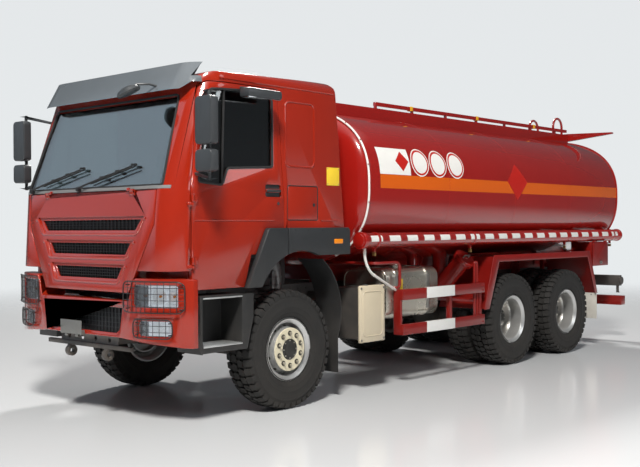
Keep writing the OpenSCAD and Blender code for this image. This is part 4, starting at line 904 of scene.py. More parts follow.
# Lamp guards. Black wire grids welded to a rod frame.
# Each is bolted to the bumper round its lamp.
guard_black = surface("guard_black", (0.022, 0.020, 0.020), 0.4, patch=20, drift=0.2, grain=500, depth=0.0002)
for side_name, side_sign in both_sides:
    shape = bmesh.new()
    for low, high, off, pitch in (((0.640, 0.962), (1.212, 1.218), 0.038, 0.051),
                                  ((0.748, 0.752), (1.118, 0.908), 0.030, 0.050)):
        path = split_runs(round_loop(low, high, 0.05, 4), 0.07)
        add_tube(shape, [(side_sign * x, bumper_face(x) - off, z) for x, z in path], 0.0055, 8, True)
        across = int((high[0] - low[0]) / pitch)
        for k in range(1, across):
            x = low[0] + (high[0] - low[0]) * k / across
            y = bumper_face(x) - off
            add_tube(shape, [(side_sign * x, y, low[1]), (side_sign * x, y, high[1])], 0.0026, 6)
        up = int((high[1] - low[1]) / pitch)
        for k in range(1, up):
            z = low[1] + (high[1] - low[1]) * k / up
            xs = [low[0] + (high[0] - low[0]) * t / 8 for t in range(9)]
            add_tube(shape, [(side_sign * x, bumper_face(x) - off, z) for x in xs], 0.0026, 6)
        for x in (low[0] + 0.03, high[0] - 0.03):
            y = bumper_face(x)
            for z in (low[1] + 0.03, high[1] - 0.03):
                add_tube(shape, [(side_sign * x, y - off, z), (side_sign * x, y + 0.004, z)], 0.005)
    place("lamp_guards_" + side_name, shape, "black_plastic", guard_black)

# Entry steps and front mudguards. Black moulded boxes under the doors, with bright ribbed treads, and black
# sheet mudguards behind the front wheels with rubber flaps.
step_black = surface("step_black", (0.016, 0.017, 0.018), 0.5, patch=5, drift=0.3, grain=350, depth=0.0003,
                     dust=0.08)
tread_bright = surface("tread_bright", (0.62, 0.63, 0.62), 0.32, metal=0.8, patch=18, drift=0.2, grain=300,
                       depth=0.0003)
soften("entry_steps", 0.006, step_black)
soften("front_mudguards", 0.003, step_black)
shape = bmesh.new()
start, stop = -1.085, -0.640
for z in (1.064, 0.660):
    add_block(shape, (0.935, start, z), (1.202, stop, z + 0.012), 0.003)
    for k in range(9):
        x = 0.965 + k * 0.028
        add_block(shape, (x - 0.005, start + 0.012, z + 0.011), (x + 0.005, stop - 0.012, z + 0.017), 0.002)
place("step_treads", shape, "alloy", tread_bright, pair=True)

# Wheel arch flares. Black moulded flares, bolted on, the front part of each fixed to its door.
# An amber side lamp is set in the rear part.
flare_black = surface("flare_black", (0.020, 0.022, 0.024), 0.5, patch=4, drift=0.25, grain=350,
                      depth=0.0003, dust=0.14)
for node in ("cab_flares", "door_flare_left", "door_flare_right"):
    soften(node, 0.006, flare_black)
shape = bmesh.new()
bolts = bmesh.new()
add_block(shape, (1.200, 0.560, 1.500), (1.216, 0.680, 1.545), 0.006)
for v in (0.02, 0.20, 0.40, 0.60, 0.745):
    add_rod(bolts, (1.205, v, 1.632), (1.211, v, 1.632), 0.009, 0.007, 12)
place("flare_lamps", shape, "lamp_glass", amber_lens, pair=True)
place("flare_bolts", bolts, "black_plastic", rubber_trim, pair=True)

# Mirrors. Two mirrors in dark grey housings on a bent tube arm beside each door, a ground mirror over the
# left door and a round kerb mirror under the visor.
mirror_grey = surface("mirror_grey", (0.040, 0.044, 0.048), 0.38, patch=4, drift=0.2, grain=600, depth=0.0002)
mirror_glass = surface("mirror_glass", (0.80, 0.82, 0.83), 0.03, metal=1.0, patch=3, drift=0.02, grain=5,
                       depth=0.00001)
for side_name, side_sign in both_sides:
    soften("mirrors_" + side_name, 0.010, mirror_grey, 40, 3)
    shape = bmesh.new()
    for low_z, high_z in ((2.340, 2.710), (2.120, 2.280)):
        low_x, high_x = sorted((side_sign * 1.282, side_sign * 1.458))
        add_block(shape, (low_x, -1.146, low_z), (high_x, -1.142, high_z), 0.002)
    place("mirror_faces_" + side_name, shape, "glass", mirror_glass, side_name + "_door")
shape = bmesh.new()
add_block(shape, (1.225, -0.690, 2.770), (1.345, -0.275, 2.850), 0.026)
for v in (-0.60, -0.36):
    add_tube(shape, [(1.090, v, 2.850), (1.150, v, 2.868), (1.215, v, 2.860), (1.262, v, 2.840)], 0.010, 8)
place("ground_mirror", shape, "grey_plastic", mirror_grey, "left_door")
shape = bmesh.new()
add_block(shape, (1.240, -0.675, 2.766), (1.332, -0.290, 2.772), 0.002)
place("ground_mirror_face", shape, "glass", mirror_glass, "left_door")
shape = bmesh.new()
kerb_profile = [(0.0, 0), (0.006, 0.070), (0.0, 0.100), (-0.018, 0.108), (-0.045, 0.090), (-0.062, 0.045),
                (-0.066, 0)]
revolve(shape, kerb_profile, 32, (0.555, -1.330, 2.800), (0.25, 0.35, -0.9))
add_tube(shape, [(0.700, -1.120, 2.860), (0.660, -1.200, 2.885), (0.600, -1.290, 2.880),
                 (0.568, -1.322, 2.852)], 0.010, 8)
place("kerb_mirror", shape, "grey_plastic", mirror_grey)

# Tank. A welded steel barrel of rounded oval section with dished heads, in glossy crimson enamel with an
# orange stripe along each side. Weld beads show round it, and it sits on the saddles' padded tops.
tank_red = surface("tank_red", (0.30, 0.009, 0.006), 0.24, coat=1.0, patch=0.9, drift=0.10, grain=240,
                   depth=0.00004, dust=0.02)
frame_red = surface("frame_red", (0.20, 0.007, 0.005), 0.34, coat=0.6, patch=2.5, drift=0.14, grain=300,
                    depth=0.0001, dust=0.03)
stripe_orange = surface("stripe_orange", (0.66, 0.110, 0.004), 0.24, coat=1.0, patch=1.5, drift=0.05,
                        grain=240, depth=0.00004)
tank_half_w, tank_half_h, tank_mid_z = 1.195, 0.820, 2.075
barrel_start, barrel_end = 1.130, 6.700
stripe_low, stripe_high = 2.049, 2.190


def section_angle(z):
    level_share = (z - tank_mid_z) / tank_half_h
    return math.copysign(math.asin(abs(level_share) ** 1.25), level_share)


def section_point(a, grow=1.0):
    c, s = math.cos(a), math.sin(a)
    return (math.copysign(tank_half_w * grow * abs(c) ** 0.8, c),
            tank_mid_z + math.copysign(tank_half_h * grow * abs(s) ** 0.8, s))


# Half width of the barrel at a height
def tank_x(z):
    return tank_half_w * max(0.0, 1 - abs((z - tank_mid_z) / tank_half_h) ** 2.5) ** 0.4


angles = {2 * math.pi * i / 120 for i in range(120)}
marks = [section_angle(stripe_low) % (2 * math.pi), section_angle(stripe_high)]
marks += [(math.pi - m) % (2 * math.pi) for m in marks]
angles = sorted([a for a in angles if min(abs(a - m) for m in marks) > 0.012] + marks)
cap_steps = 14
head = [math.radians(90 * k / cap_steps) for k in range(1, cap_steps + 1)]
head = [(0.17 * math.sin(a), 0.12 + 0.88 * math.cos(a) ** 0.55) for a in head]
stations = [(barrel_start - out, grow) for out, grow in reversed(head)]
stations += [(v, 1.0) for v in (barrel_start, 1.290, 2.6, 3.9, 5.2, barrel_end)]
stations += [(barrel_end + out, grow) for out, grow in head]
shape = bmesh.new()
rows = [[(x, v, z) for x, z in (section_point(a, grow) for a in angles)] for v, grow in stations]
rings = skin(shape, rows, ends=False)
for end, ring in ((-1, rings[0]), (1, rings[-1])):
    pole = shape.verts.new((0, ring[0].co.y + end * 0.0005, tank_mid_z))
    for k in range(len(angles)):
        shape.faces.new((ring[k], ring[(k + 1) % len(angles)], pole))
tank = place("tank_finished", shape, "tank_paint", tank_red, crease=50)
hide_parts("tank")
repaint(tank, stripe_orange, lambda p: stripe_low < p.z < stripe_high and 1.285 < p.y < 6.701)
shape = bmesh.new()
for v, grow, thick in ((1.128, 1.001, 0.009), (2.520, 1.0, 0.0013), (3.930, 1.0, 0.0013),
                       (5.330, 1.0, 0.0013), (6.702, 1.001, 0.009)):
    add_tube(shape, [(x, v, z) for x, z in (section_point(a, grow) for a in angles)], thick, 8, True)
place("tank_weld_beads", shape, "tank_paint", tank_red)

# Signs and rim pipe on the tank. Blank vinyl signs lie on the barrel and follow it, and a white pipe is
# clipped round the rim of the front head.
sign_white = surface("sign_white", (0.80, 0.79, 0.76), 0.35, coat=0.4, patch=6, drift=0.04, grain=400,
                     depth=0.00004)
sign_red = surface("sign_red", (0.48, 0.014, 0.008), 0.30, coat=0.5, patch=6, drift=0.05, grain=400,
                   depth=0.00004)


# Thin sheet on the barrel's left side from rows of (height, front end, rear end)
def tank_sheet(shape, rows, lift):
    grid = []
    for z, start, stop in rows:
        lean = (tank_x(z - 0.01) - tank_x(z + 0.01)) / 0.02
        out = Vector((1, 0, lean)).normalized()
        base = Vector((tank_x(z), 0, z))
        corners = ((start, lift), (stop, lift), (stop, -0.002), (start, -0.002))
        grid.append([base + out * off + Vector((0, v, 0)) for v, off in corners])
    skin(shape, grid)


def disc_rows(v, z, half_v, half_z, power, steps=20):
    rows = []
    for k in range(steps + 1):
        t = -math.cos(math.pi * k / steps) if power == 2 else -1 + 2 * k / steps
        width = half_v * max(0.0, (1 - abs(t) ** power)) ** (1 / power)
        rows.append((z + half_z * t, v - width - 0.0005, v + width + 0.0005))
    return rows


whites = bmesh.new()
reds = bmesh.new()
tank_sheet(whites, [(2.193 + (2.467 - 2.193) * k / 8, 1.290, 1.810) for k in range(9)], 0.0012)
tank_sheet(reds, disc_rows(1.680, 2.335, 0.112, 0.103, 1), 0.0022)
for v in (1.998, 2.330, 2.668):
    for target, half_v, half_z, lift in ((whites, 0.156, 0.148, 0.0012), (reds, 0.144, 0.136, 0.0020),
                                         (whites, 0.122, 0.115, 0.0028)):
        tank_sheet(target, disc_rows(v, 2.335, half_v, half_z, 2), lift)
tank_sheet(reds, disc_rows(3.970, 2.190, 0.229, 0.215, 1, 24), 0.0022)
shape = bmesh.new()
clips = bmesh.new()
run = [section_point(math.radians(a), 1.006) for a in range(72, -58, -2)]
add_tube(shape, [(x, 1.098, z) for x, z in run], 0.011, 10)
for x, z in run[4::9]:
    out = Vector((x, 0, z - tank_mid_z)).normalized()
    spot = Vector((x, 1.098, z))
    add_rod(clips, spot - out * 0.020 + Vector((0, 0.018, 0)), spot + out * 0.012 + Vector((0, 0.018, 0)),
            0.006, sides=8)
    add_rod(clips, spot + out * 0.012 + Vector((0, -0.014, 0)), spot + out * 0.012 + Vector((0, 0.022, 0)),
            0.005, sides=8)
place("rim_pipe", shape, "cream", sign_white, pair=True)
place("rim_pipe_clips", clips, "tank_paint", tank_red, pair=True)
place("tank_signs_white", whites, "cream", sign_white, crease=50, pair=True)
place("tank_signs_red", reds, "tank_paint", sign_red, crease=50, pair=True)

# Saddles and bearers. Steel plate saddles welded to two long bearers, in crimson paint.
# The bearers are bolted down to the chassis rails by side plates.
soften("tank_saddles", 0.003, frame_red)
plates = bmesh.new()
for v in (1.7, 2.45, 3.35, 4.3, 5.2, 6.2):
    add_block(plates, (0.431, v - 0.11, 0.99), (0.441, v + 0.11, 1.19), 0.003)
    for dv in (-0.07, 0.07):
        for z in (1.02, 1.06, 1.12, 1.165):
            add_rod(plates, (0.440, v + dv, z), (0.452, v + dv, z), 0.013, 0.012, 6)
place("bearer_plates", plates, "tank_paint", frame_red, pair=True)

# Hose tubes. Long tubes along both sides that store the hoses, closed by hinged caps and held by straps
# with padlocks. White reflective dashes run along their outer sides.
soften("hose_tubes", 0.002, tank_red, 40)
tube_x, tube_z, tube_r = 1.150, 1.522, 0.080
tape_white = surface("tape_white", (0.70, 0.70, 0.68), 0.30, coat=0.5, patch=20, drift=0.05, grain=900,
                     depth=0.0002)
dash = bmesh.new()
dash_edge = ((0, tube_r + 0.0015), (0.18, tube_r + 0.0015), (0.18, tube_r - 0.002), (0, tube_r - 0.002))
rows = []
for k in range(7):
    a = math.radians(-8 + 44 * k / 6)
    rows.append([(tube_x + r * math.cos(a), v, tube_z + r * math.sin(a)) for v, r in dash_edge])
skin(dash, rows)
dashes = repeated(dash, 19, tape_white, start=(0, 1.100, 0), step=(0, 0.2985, 0))
straps = bmesh.new()
locks = bmesh.new()
strap_profile = [(0, tube_r - 0.003), (0, tube_r + 0.004), (0.034, tube_r + 0.004), (0.034, tube_r - 0.003)]
cap_profile = [(0, 0), (0, 0.066), (0.010, 0.062), (0.016, 0.040), (0.017, 0)]
under = tube_z - tube_r
for v in (1.217, 2.963, 5.208, 6.540):
    revolve(straps, strap_profile, 40, (tube_x, v, tube_z), (0, 1, 0))
    add_block(straps, (tube_x - 0.014, v + 0.004, under - 0.034), (tube_x + 0.014, v + 0.030, under), 0.003)
    add_block(locks, (tube_x - 0.020, v + 0.008, under - 0.078), (tube_x + 0.020, v + 0.026, under - 0.044),
              0.004)
    shackle = ((-0.012, -0.046), (-0.012, -0.026), (0, -0.018), (0.012, -0.026), (0.012, -0.046))
    add_tube(locks, [(tube_x + dx, v + 0.017, under + dz) for dx, dz in shackle], 0.003, 6)
for v, facing in ((1.005, -1), (6.790, 1)):
    revolve(straps, cap_profile, 32, (tube_x, v, tube_z), (0, facing, 0))
brass = surface("brass", (0.60, 0.42, 0.16), 0.32, metal=0.9, patch=40, drift=0.2, grain=500, depth=0.0002)
place("hose_tube_dashes", dashes, "cream", tape_white, pair=True)
place("hose_tube_straps", straps, "tank_paint", tank_red, pair=True)
place("hose_tube_padlocks", locks, "alloy", brass, pair=True)

# Walkway and its rail. Folded crimson steel along the tank's top, with a raised tube rail at both sides
# held by yellow clamps, and the two manholes with their lids.
soften("walkway", 0.002, tank_red, 22)
for node in ("manhole_lid_front", "manhole_lid_rear"):
    soften(node, 0.003, tank_red)
clamp_yellow = surface("clamp_yellow", (0.72, 0.40, 0.02), 0.4, patch=20, drift=0.12, grain=400, depth=0.0002)
shape = bmesh.new()
for v in (2.797, 4.211, 5.661):
    add_block(shape, (0.408, v, 3.012), (0.460, v + 0.05, 3.066), 0.006)
place("rail_clamps", shape, "cream", clamp_yellow, pair=True)
for lid_name, v in (("front", 2.680), ("rear", 5.150)):
    shape = bmesh.new()
    for k in range(12):
        a = math.radians(15 + 30 * k)
        x, dy = 0.236 * math.cos(a), 0.236 * math.sin(a)
        add_rod(shape, (x, v + dy, 2.979), (x, v + dy, 2.990), 0.011, 0.010, 6)
    place("manhole_bolts_" + lid_name, shape, "alloy", bolt_steel, lid_name + "_manhole_lid")

# Ladder. Bent and welded steel tube behind the tank, in the tank's enamel.
# It runs from the bumper up over the walkway.
soften("rear_ladder", 0.001, tank_red, 40)

# Running gear. Cast and forged axles, leaf springs with U-bolts, knuckles, and the engine and radiator that
# show in the wheel arches, all black or dark grey and dusty.
cast_dark = surface("cast_dark", (0.040, 0.039, 0.038), 0.6, metal=0.2, patch=6, drift=0.4, grain=160,
                    depth=0.0008, dust=0.35)
engine_grey = surface("engine_grey", (0.075, 0.078, 0.080), 0.5, metal=0.4, patch=5, drift=0.4, grain=120,
                      depth=0.0010, dust=0.2)
for node in ("front_axle", "rear_axles", "knuckle_left", "knuckle_right"):
    soften(node, 0.004, cast_dark, 40)
soften("engine_block", 0.012, engine_grey)
soften("radiator", 0.004, mesh_black)
shape = bmesh.new()
rear_spring_v = 4.500
for v, low_z, high_z, spread, radius in (
    (-0.065, 0.485, 0.665, 0.045, 0.010), (0.065, 0.485, 0.665, 0.045, 0.010),
    (rear_spring_v - 0.09, 0.66, 0.765, 0.048, 0.011), (rear_spring_v + 0.09, 0.66, 0.765, 0.048, 0.011),
):
    for x in (0.390 - spread, 0.390 + spread):
        add_tube(shape, [(x, v, low_z), (x, v, high_z)], radius)
place("spring_bolts", shape, "cast", bolt_steel, pair=True)
fins = bmesh.new()
add_block(fins, (-0.320, -0.004, 0.66), (0.320, 0.004, 0.664))
fins = repeated(fins, 50, mesh_black, start=(0, -1.062, 0), step=(0, 0, 0.0088))
place("radiator_fins", fins, "black_plastic", mesh_black)
hose_grey = surface("hose_grey", (0.24, 0.24, 0.24), 0.35, metal=0.5, patch=9, drift=0.25, grain=300,
                    depth=0.0003, dust=0.1)
shape = bmesh.new()
path = [Vector(corner) for corner in (
    (0.350, 0.45, 0.93), (0.470, 0.43, 0.95), (0.570, 0.40, 1.03), (0.600, 0.38, 1.14), (0.600, 0.37, 1.27),
    (0.585, 0.32, 1.37), (0.560, 0.25, 1.42),
)]
add_tube(shape, path, 0.056, 20)
for one, two in zip(path, path[1:]):
    for k in range(2):
        middle = one.lerp(two, (k + 0.5) / 2)
        revolve(shape, [(-0.008, 0.054), (-0.004, 0.061), (0.004, 0.061), (0.008, 0.054)], 20, middle,
                two - one)
place("intake_duct", shape, "cast", hose_grey)
shape = bmesh.new()
add_block(shape, (0.345, -0.36, 0.98), (0.470, 0.10, 1.32), 0.02)
add_rod(shape, (0.40, -0.16, 0.90), (0.52, -0.16, 0.90), 0.085, sides=28, edge=0.006)
add_tube(shape, [(0.46, 0.42, 0.95), (0.48, 0.2, 1.02), (0.47, 0.02, 1.00)], 0.020, 10)
add_tube(shape, [(0.45, -0.42, 1.25), (0.50, -0.2, 1.38), (0.46, 0.3, 1.38)], 0.016, 10)
place("engine_side_parts", shape, "cast", engine_grey)

# Equipment along the chassis. A battery box with a cream pressed cover, an aluminium fuel tank on strapped
# brackets, and air tanks on the other side.
box_dark = surface("box_dark", (0.034, 0.034, 0.035), 0.5, patch=6, drift=0.25, grain=300, depth=0.0003,
                   dust=0.3)
cream_paint = surface("cream_paint", (0.60, 0.52, 0.38), 0.38, coat=0.3, patch=3, drift=0.10, grain=400,
                      depth=0.0001, dust=0.15)
battery = soften("battery_box", 0.012, box_dark)
repaint(battery, cream_paint, lambda p: p.x > 1.149)
shape = bmesh.new()
add_tube(shape, [(1.179, v, z) for v, z in round_loop((1.020, 0.570), (1.324, 1.014), 0.05)], 0.007, 8, True)
place("battery_cover_bead", shape, "cream", cream_paint)
shape = bmesh.new()
for v in (0.995, 1.348):
    for z in (0.535, 1.048):
        add_rod(shape, (1.178, v, z), (1.186, v, z), 0.012, 0.010, 16)
for v in (1.06, 1.28):
    add_block(shape, (1.130, v, 1.040), (1.176, v + 0.04, 1.086), 0.004)
place("battery_cover_bolts", shape, "alloy", bolt_steel)
fuel_alloy = surface("fuel_alloy", (0.52, 0.49, 0.42), 0.26, metal=0.85, patch=1.4, drift=0.15, grain=90,
                     depth=0.0004, dust=0.12)
strap_steel = surface("strap_steel", (0.30, 0.29, 0.27), 0.38, metal=0.8, patch=20, drift=0.2, grain=400,
                      depth=0.0002, dust=0.2)
fuel = soften("fuel_tank", 0.006, fuel_alloy, 35)
repaint(fuel, strap_steel, lambda p: any(v - 0.001 < p.y < v + 0.061 for v in (1.640, 2.180)) and (
    p.x > 1.1105 or p.z > 1.2255 or p.z < 0.6995 or p.x < 0.5195))
shape = bmesh.new()
add_rod(shape, (0.96, 1.80, 1.215), (0.96, 1.80, 1.262), 0.055, sides=28, edge=0.006)
for v in (1.482, 2.398):
    facing = -1 if v < 2 else 1
    rim = round_loop((0.545, 0.725), (1.085, 1.200), 0.10)
    add_tube(shape, [(x, v + facing * 0.004, z) for x, z in rim], 0.006, 8, True)
place("fuel_tank_trim", shape, "alloy", fuel_alloy)
shape = bmesh.new()
add_block(shape, (1.1085, 1.690, 0.985), (1.1125, 1.760, 1.110), 0.001)
place("fuel_tank_plate", shape, "cream", plate_yellow)
soften("air_tanks", 0.004, box_dark, 40)
shape = bmesh.new()
for x in (-1.060, -0.770):
    for v in (1.70, 2.20):
        revolve(shape, [(0, 0.123), (0, 0.128), (0.04, 0.128), (0.04, 0.123)], 36, (x, v, 0.860), (0, 1, 0))
    for v, facing in ((1.631, -1), (2.401, 1)):
        revolve(shape, [(-0.001, 0), (-0.001, 0.112), (0.012, 0.100), (0.024, 0.06), (0.028, 0)], 36,
                (x, v, 0.860), (0, facing, 0))
place("air_tank_straps", shape, "chassis_paint", box_dark)

# Side guards and mudguards. Crimson steel box rails with white reflective bands, and folded mudguards over
# the twin wheels with pale rubber flaps.
soften("side_guards", 0.004, frame_red)
soften("rear_mudguards", 0.003, frame_red)
flap_pale = surface("flap_pale", (0.60, 0.58, 0.53), 0.55, patch=5, drift=0.15, grain=300, depth=0.0004,
                    dust=0.3)
soften("mud_flaps", 0.002, flap_pale)
shape = bmesh.new()
bolts = bmesh.new()
for low_z, high_z in ((0.900, 1.012), (0.540, 0.650)):
    add_block(shape, (1.2102, 2.008, low_z - 0.0012), (1.2462, 2.534, high_z + 0.0012), 0.001)
    for v in (1.604, 2.505, 3.105):
        if not (2.008 < v < 2.534):
            for dz in (0.03, 0.08):
                add_rod(bolts, (1.244, v, low_z + dz), (1.251, v, low_z + dz), 0.010, 0.009, 12)
place("guard_bands", shape, "cream", tape_white, pair=True)
place("guard_bolts", bolts, "tank_paint", frame_red, pair=True)
shape = bmesh.new()
for x in (0.62, 0.80, 0.98, 1.16):
    add_rod(shape, (x, 5.966, 0.715), (x, 5.982, 0.715), 0.010, 0.009, 12)
place("flap_bolts", shape, "alloy", bolt_steel, pair=True)

# Bent stays. Crimson steel tube: one runs forward from the guard's front post and in to the first saddle,
# and a narrow hoop stands against the guard's rails beside the large outlet.
shape = bmesh.new()
front_stay = [(1.190, 1.606, 1.008), (1.190, 1.606, 1.290), (1.190, 1.208, 1.290), (0.488, 1.208, 1.290)]
add_tube(shape, eased(front_stay, 0.07, 5), 0.017, 14)
hoop = [(1.195, 3.000, 0.545), (1.195, 3.000, 1.250), (1.195, 3.052, 1.250), (1.195, 3.052, 0.545)]
add_tube(shape, eased(hoop, 0.024, 5), 0.0155, 14)
place("bent_stays", shape, "tank_paint", frame_red, pair=True)

# Valve cabinet, outlets and drain hose. A crimson cabinet with a flap and a latch, a large sloping outlet
# closed by a bolted blank flange, a smaller one beside it and a white hose from the hose tube's end.
soften("valve_cabinet", 0.002, frame_red)
soften("cabinet_door", 0.002, frame_red)
shape = bmesh.new()
add_block(shape, (1.236, 6.065, 1.135), (1.250, 6.125, 1.175), 0.003)
add_rod(shape, (1.236, 6.095, 1.155), (1.262, 6.095, 1.155), 0.014, sides=16, edge=0.002)
place("cabinet_latch", shape, "alloy", bolt_steel, "cabinet_door")
soften("outlet_pipes", 0.002, tank_red, 40)
outlet_end = Vector((1.000, 3.112, 1.290))
outlet_axis = Vector((1, 0, 1)).normalized()
shape = bmesh.new()
blank_profile = [(-0.001, 0), (-0.001, 0.126), (0.008, 0.126), (0.011, 0.122), (0.011, 0.030), (0.020, 0.024),
                 (0.022, 0)]
revolve(shape, blank_profile, 36, outlet_end, outlet_axis)
flange_profile = [(-0.048, 0.103), (-0.048, 0.132), (-0.034, 0.132), (-0.034, 0.103)]
revolve(shape, flange_profile, 36, outlet_end, outlet_axis)
revolve(shape, [(0, 0), (0, 0.108), (0.018, 0.108), (0.018, 0)], 36, (0.640, 3.112, 0.827), (0, 0, 1))
place("outlet_blank", shape, "tank_paint", tank_red)
shape = bmesh.new()
grip = Vector((0, 1, 0))
spot = outlet_end + outlet_axis * 0.044
add_tube(shape, [spot - grip * 0.05 - outlet_axis * 0.034, spot - grip * 0.05, spot + grip * 0.05,
                 spot + grip * 0.05 - outlet_axis * 0.034], 0.010, 10)
for k in range(6):
    a = 2 * math.pi * k / 6
    x, dy = 0.640 + 0.080 * math.cos(a), 0.080 * math.sin(a)
    add_rod(shape, (x, 2.560 + dy, 0.988), (x, 2.560 + dy, 1.002), 0.010, sides=6)
place("outlet_fittings", shape, "alloy", bolt_steel)
hose_white = surface("hose_white", (0.74, 0.72, 0.68), 0.42, patch=12, drift=0.08, grain=400, depth=0.0002,
                     dust=0.1)
soften("vent_hose", 0.0006, hose_white, 50)

# Rear under-run bar. A dark red steel box beam on two arms, with reflective tape along it.
# A lamp cluster stands at each end behind coloured covers.
bumper = soften("rear_bumper", 0.004, frame_red)
repaint(bumper, box_dark, lambda p: p.z > 0.786 and abs(p.x) > 0.66)
lens_red = surface("lens_red", (0.55, 0.008, 0.006), 0.14, coat=1.0, patch=30, drift=0.1, grain=80,
                   depth=0.0006)
shape = bmesh.new()
ambers = bmesh.new()
whites = bmesh.new()
for low_x, high_x, target in ((0.700, 0.850, shape), (0.860, 0.990, whites), (1.000, 1.140, ambers)):
    add_block(target, (low_x, 6.944, 0.805), (high_x, 6.966, 0.925), 0.006)
place("rear_lamps_red", shape, "lamp_glass", lens_red, pair=True)
place("rear_lamps_amber", ambers, "lamp_glass", amber_lens, pair=True)
# The white lenses use the reflector finish, so they also carry its faint painted glow
place("rear_lamps_white", whites, "lamp_glass", lamp_bright_painted_glow, pair=True)
shape = bmesh.new()
add_block(shape, (-0.22, 7.058, 0.525), (0.22, 7.064, 0.628), 0.002)
place("rear_plate_blank", shape, "alloy", bracket_grey)
shape = bmesh.new()
add_block(shape, (1.085, 6.905, 0.690), (1.125, 6.917, 0.794), 0.002)
add_block(shape, (1.085, 6.905, 0.690), (1.125, 6.945, 0.700), 0.002)
add_rod(shape, (1.149, 6.915, 0.865), (1.172, 6.915, 0.865), 0.055, sides=28, edge=0.008)
place("rear_lamp_brackets", shape, "black_plastic", box_dark, pair=True)
shape = bmesh.new()
for k in range(4):
    add_block(shape, (0.30 + k * 0.22, 7.056, 0.552), (0.46 + k * 0.22, 7.062, 0.602), 0.001)
place("rear_bar_tape", shape, "cream", tape_white, pair=True)

# Seats. Sprung steel pedestals with foam cushions, backs and headrests in dark sewn cloth, piped round the
# edge. The padding is plumped by a short cloth simulation, and the seam channels are sewn in afterwards.
seat_cloth = surface("seat_cloth", (0.055, 0.057, 0.064), 0.85, patch=5, drift=0.3, grain=900, depth=0.0008)
seat_metal = surface("seat_metal", (0.05, 0.05, 0.05), 0.45, metal=0.5, patch=8, drift=0.2, grain=300,
                     depth=0.0003)
seat_piping = surface("seat_piping", (0.018, 0.018, 0.020), 0.6, patch=20, drift=0.2, grain=900, depth=0.0003)
seat_x = 0.560
cabin_floor = 1.500
seam_width = 0.0065


def applied(made, kind, **settings):
    added = made.modifiers.new(kind.lower(), kind)
    for key, value in settings.items():
        setattr(added, key, value)
    done = evaluated(made)
    made.modifiers.clear()
    made.data = done
    return done


# Pad in its own axes: a rounded block, plumped, with sewn lines across its face, then set in place
def pad(name, low, high, turn, face, lines, limit):
    shape = bmesh.new()
    add_block(shape, low, high)
    bevel(shape, shape.verts[:] + shape.edges[:], 0.030, 4, 0.5)
    made = new_object(name, to_mesh(shape, name))
    start = applied(made, "REMESH", mode="VOXEL", voxel_size=0.013)
    corners = [v.co.copy() for v in start.vertices]
    middle = (Vector(low) + Vector(high)) / 2
    half = (Vector(high) - Vector(low)) / 2
    cloth = made.modifiers.new("cloth", "CLOTH")
    cloth.settings.use_pressure = True
    cloth.settings.uniform_pressure_force = 4
    cloth.settings.effector_weights.gravity = 0
    cloth.settings.quality = 4
    cloth.point_cache.frame_start = 1
    cloth.point_cache.frame_end = 20
    for number in range(1, 21):
        bpy.context.scene.frame_set(number)
    puffed = evaluated(made)
    made.modifiers.clear()
    bpy.context.scene.frame_set(1)
    for corner, v in zip(corners, puffed.vertices):
        moved = v.co - corner
        if moved.length > limit:
            v.co = corner + moved * (limit / moved.length)
    made.data = puffed
    done = applied(made, "SUBSURF", levels=1, render_levels=1)
    face = Vector(face)
    for v in done.vertices:
        if v.normal.dot(face) > 0.55:
            off = [(v.co - middle).dot(Vector(across)) - at for across, at in lines]
            sunk = max([math.exp(-d ** 2 / seam_width ** 2) for d in off])
            v.co -= face * 0.009 * sunk
    tree = BVHTree.FromPolygons([v.co for v in done.vertices], [p.vertices[:] for p in done.polygons])
    flat = [k for k in (0, 1, 2) if abs(face[k]) < 0.5]
    top = middle + face * (abs(half.dot(Vector([abs(c) for c in face]))) - 0.006)
    loop = []
    edge = split_runs(round_loop((-half[flat[0]], -half[flat[1]]), (half[flat[0]], half[flat[1]]), 0.035),
                      0.03)
    for one, other in edge:
        spot = top.copy()
        spot[flat[0]] += one * 1.04
        spot[flat[1]] += other * 1.04
        loop.append(tree.find_nearest(spot)[0])
    shape = bmesh.new()
    add_tube(shape, loop, 0.0045, 6, True)
    piping = to_mesh(shape, name + "_piping")
    bpy.data.objects.remove(made)
    for side_name, side_sign in both_sides:
        for kind, part, finish in (("", done, seat_cloth), ("_piping", piping, seat_piping)):
            copy = part.copy()
            copy.transform(to_frame @ Matrix.Translation((side_sign * seat_x, 0, 0)) @ turn)
            item = place_mesh(name + kind + "_" + side_name, copy, "truck", finish, 60)


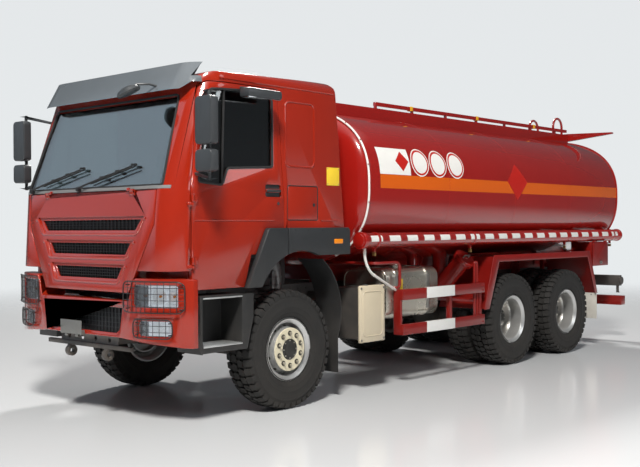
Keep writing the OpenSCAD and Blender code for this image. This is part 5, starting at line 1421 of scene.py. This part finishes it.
lean = Matrix.Rotation(math.radians(-12), 4, "X")
across_x, along_y, up_z = (1, 0, 0), (0, 1, 0), (0, 0, 1)
pad("seat_cushion", (-0.236, -0.526, -0.056), (0.236, -0.034, 0.056), Matrix.Translation((0, 0, 1.790)), up_z,
    [(across_x, -0.13), (across_x, 0.13), (along_y, -0.14)], 0.012)
pad("seat_back", (-0.226, -0.046, -0.006), (0.226, 0.056, 0.626),
    Matrix.Translation((0, -0.060, 1.840)) @ lean, (0, -1, 0),
    [(across_x, -0.12), (across_x, 0.12), (up_z, 0.10)], 0.012)
pad("headrest", (-0.118, -0.043, 0.012), (0.118, 0.028, 0.178), Matrix.Translation((0, 0.075, 2.480)) @ lean,
    (0, -1, 0), [(up_z, 0.0)], 0.010)
shape = bmesh.new()
for low_z, high_z in ((cabin_floor, cabin_floor + 0.05), (1.698, 1.726)):
    add_block(shape, (seat_x - 0.178, -0.478, low_z), (seat_x + 0.178, -0.062, high_z), 0.008)
fold = (1.700 - cabin_floor - 0.05) / 5
for k in range(5):
    inset = 0.012 if k % 2 else 0.0
    low_z = cabin_floor + 0.05 + k * fold
    add_block(shape, (seat_x - 0.165 + inset, -0.465 + inset, low_z),
              (seat_x + 0.165 - inset, -0.075 - inset, low_z + fold + 0.001), 0.006)
for dx in (-0.060, 0.060):
    foot = Matrix.Translation((seat_x + dx, 0.060, 2.440)) @ lean
    add_rod(shape, foot @ Vector((0, 0, -0.02)), foot @ Vector((0, 0, 0.065)), 0.008, sides=14)
seat_frames = place("seat_frames", shape, "seat_cloth", seat_metal, pair=True)
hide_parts("seats")

# Dashboard and steering wheel. A moulded grey dashboard right across the cab with vents, a screen panel and
# an instrument hood, and a three-spoke wheel with a padded hub on its column.
dash_grey = surface("dash_grey", (0.075, 0.078, 0.082), 0.6, patch=3, drift=0.12, grain=900, depth=0.0004)
soften("dashboard", 0.010, dash_grey)
soften("steering_wheel", 0.002, rubber_trim, 50)
shape = bmesh.new()
for x in (-0.92, -0.52, -0.16, 0.16, 0.92):
    add_block(shape, (x - 0.075, -1.012, 1.880), (x + 0.075, -0.962, 1.940), 0.006)
add_block(shape, (-0.13, -1.006, 1.700), (0.13, -0.966, 1.850), 0.005)
add_block(shape, (-0.78, -1.010, 1.690), (-0.30, -0.972, 1.840), 0.008)
place("dashboard_panels", shape, "black_plastic", rubber_trim)
hood = bmesh.new()
hood_edge = ((-1.160, 0.0), (-1.020, 0.012), (-1.020, 0.002), (-1.160, -0.020))
rows = []
for k in range(15):
    a = math.pi * k / 14
    x, z = 0.560 + 0.20 * math.cos(a), 1.985 + 0.085 * math.sin(a)
    rows.append([(x, v, z + off) for v, off in hood_edge])
skin(hood, rows)
place("instrument_hood", hood, "black_plastic", dash_grey)
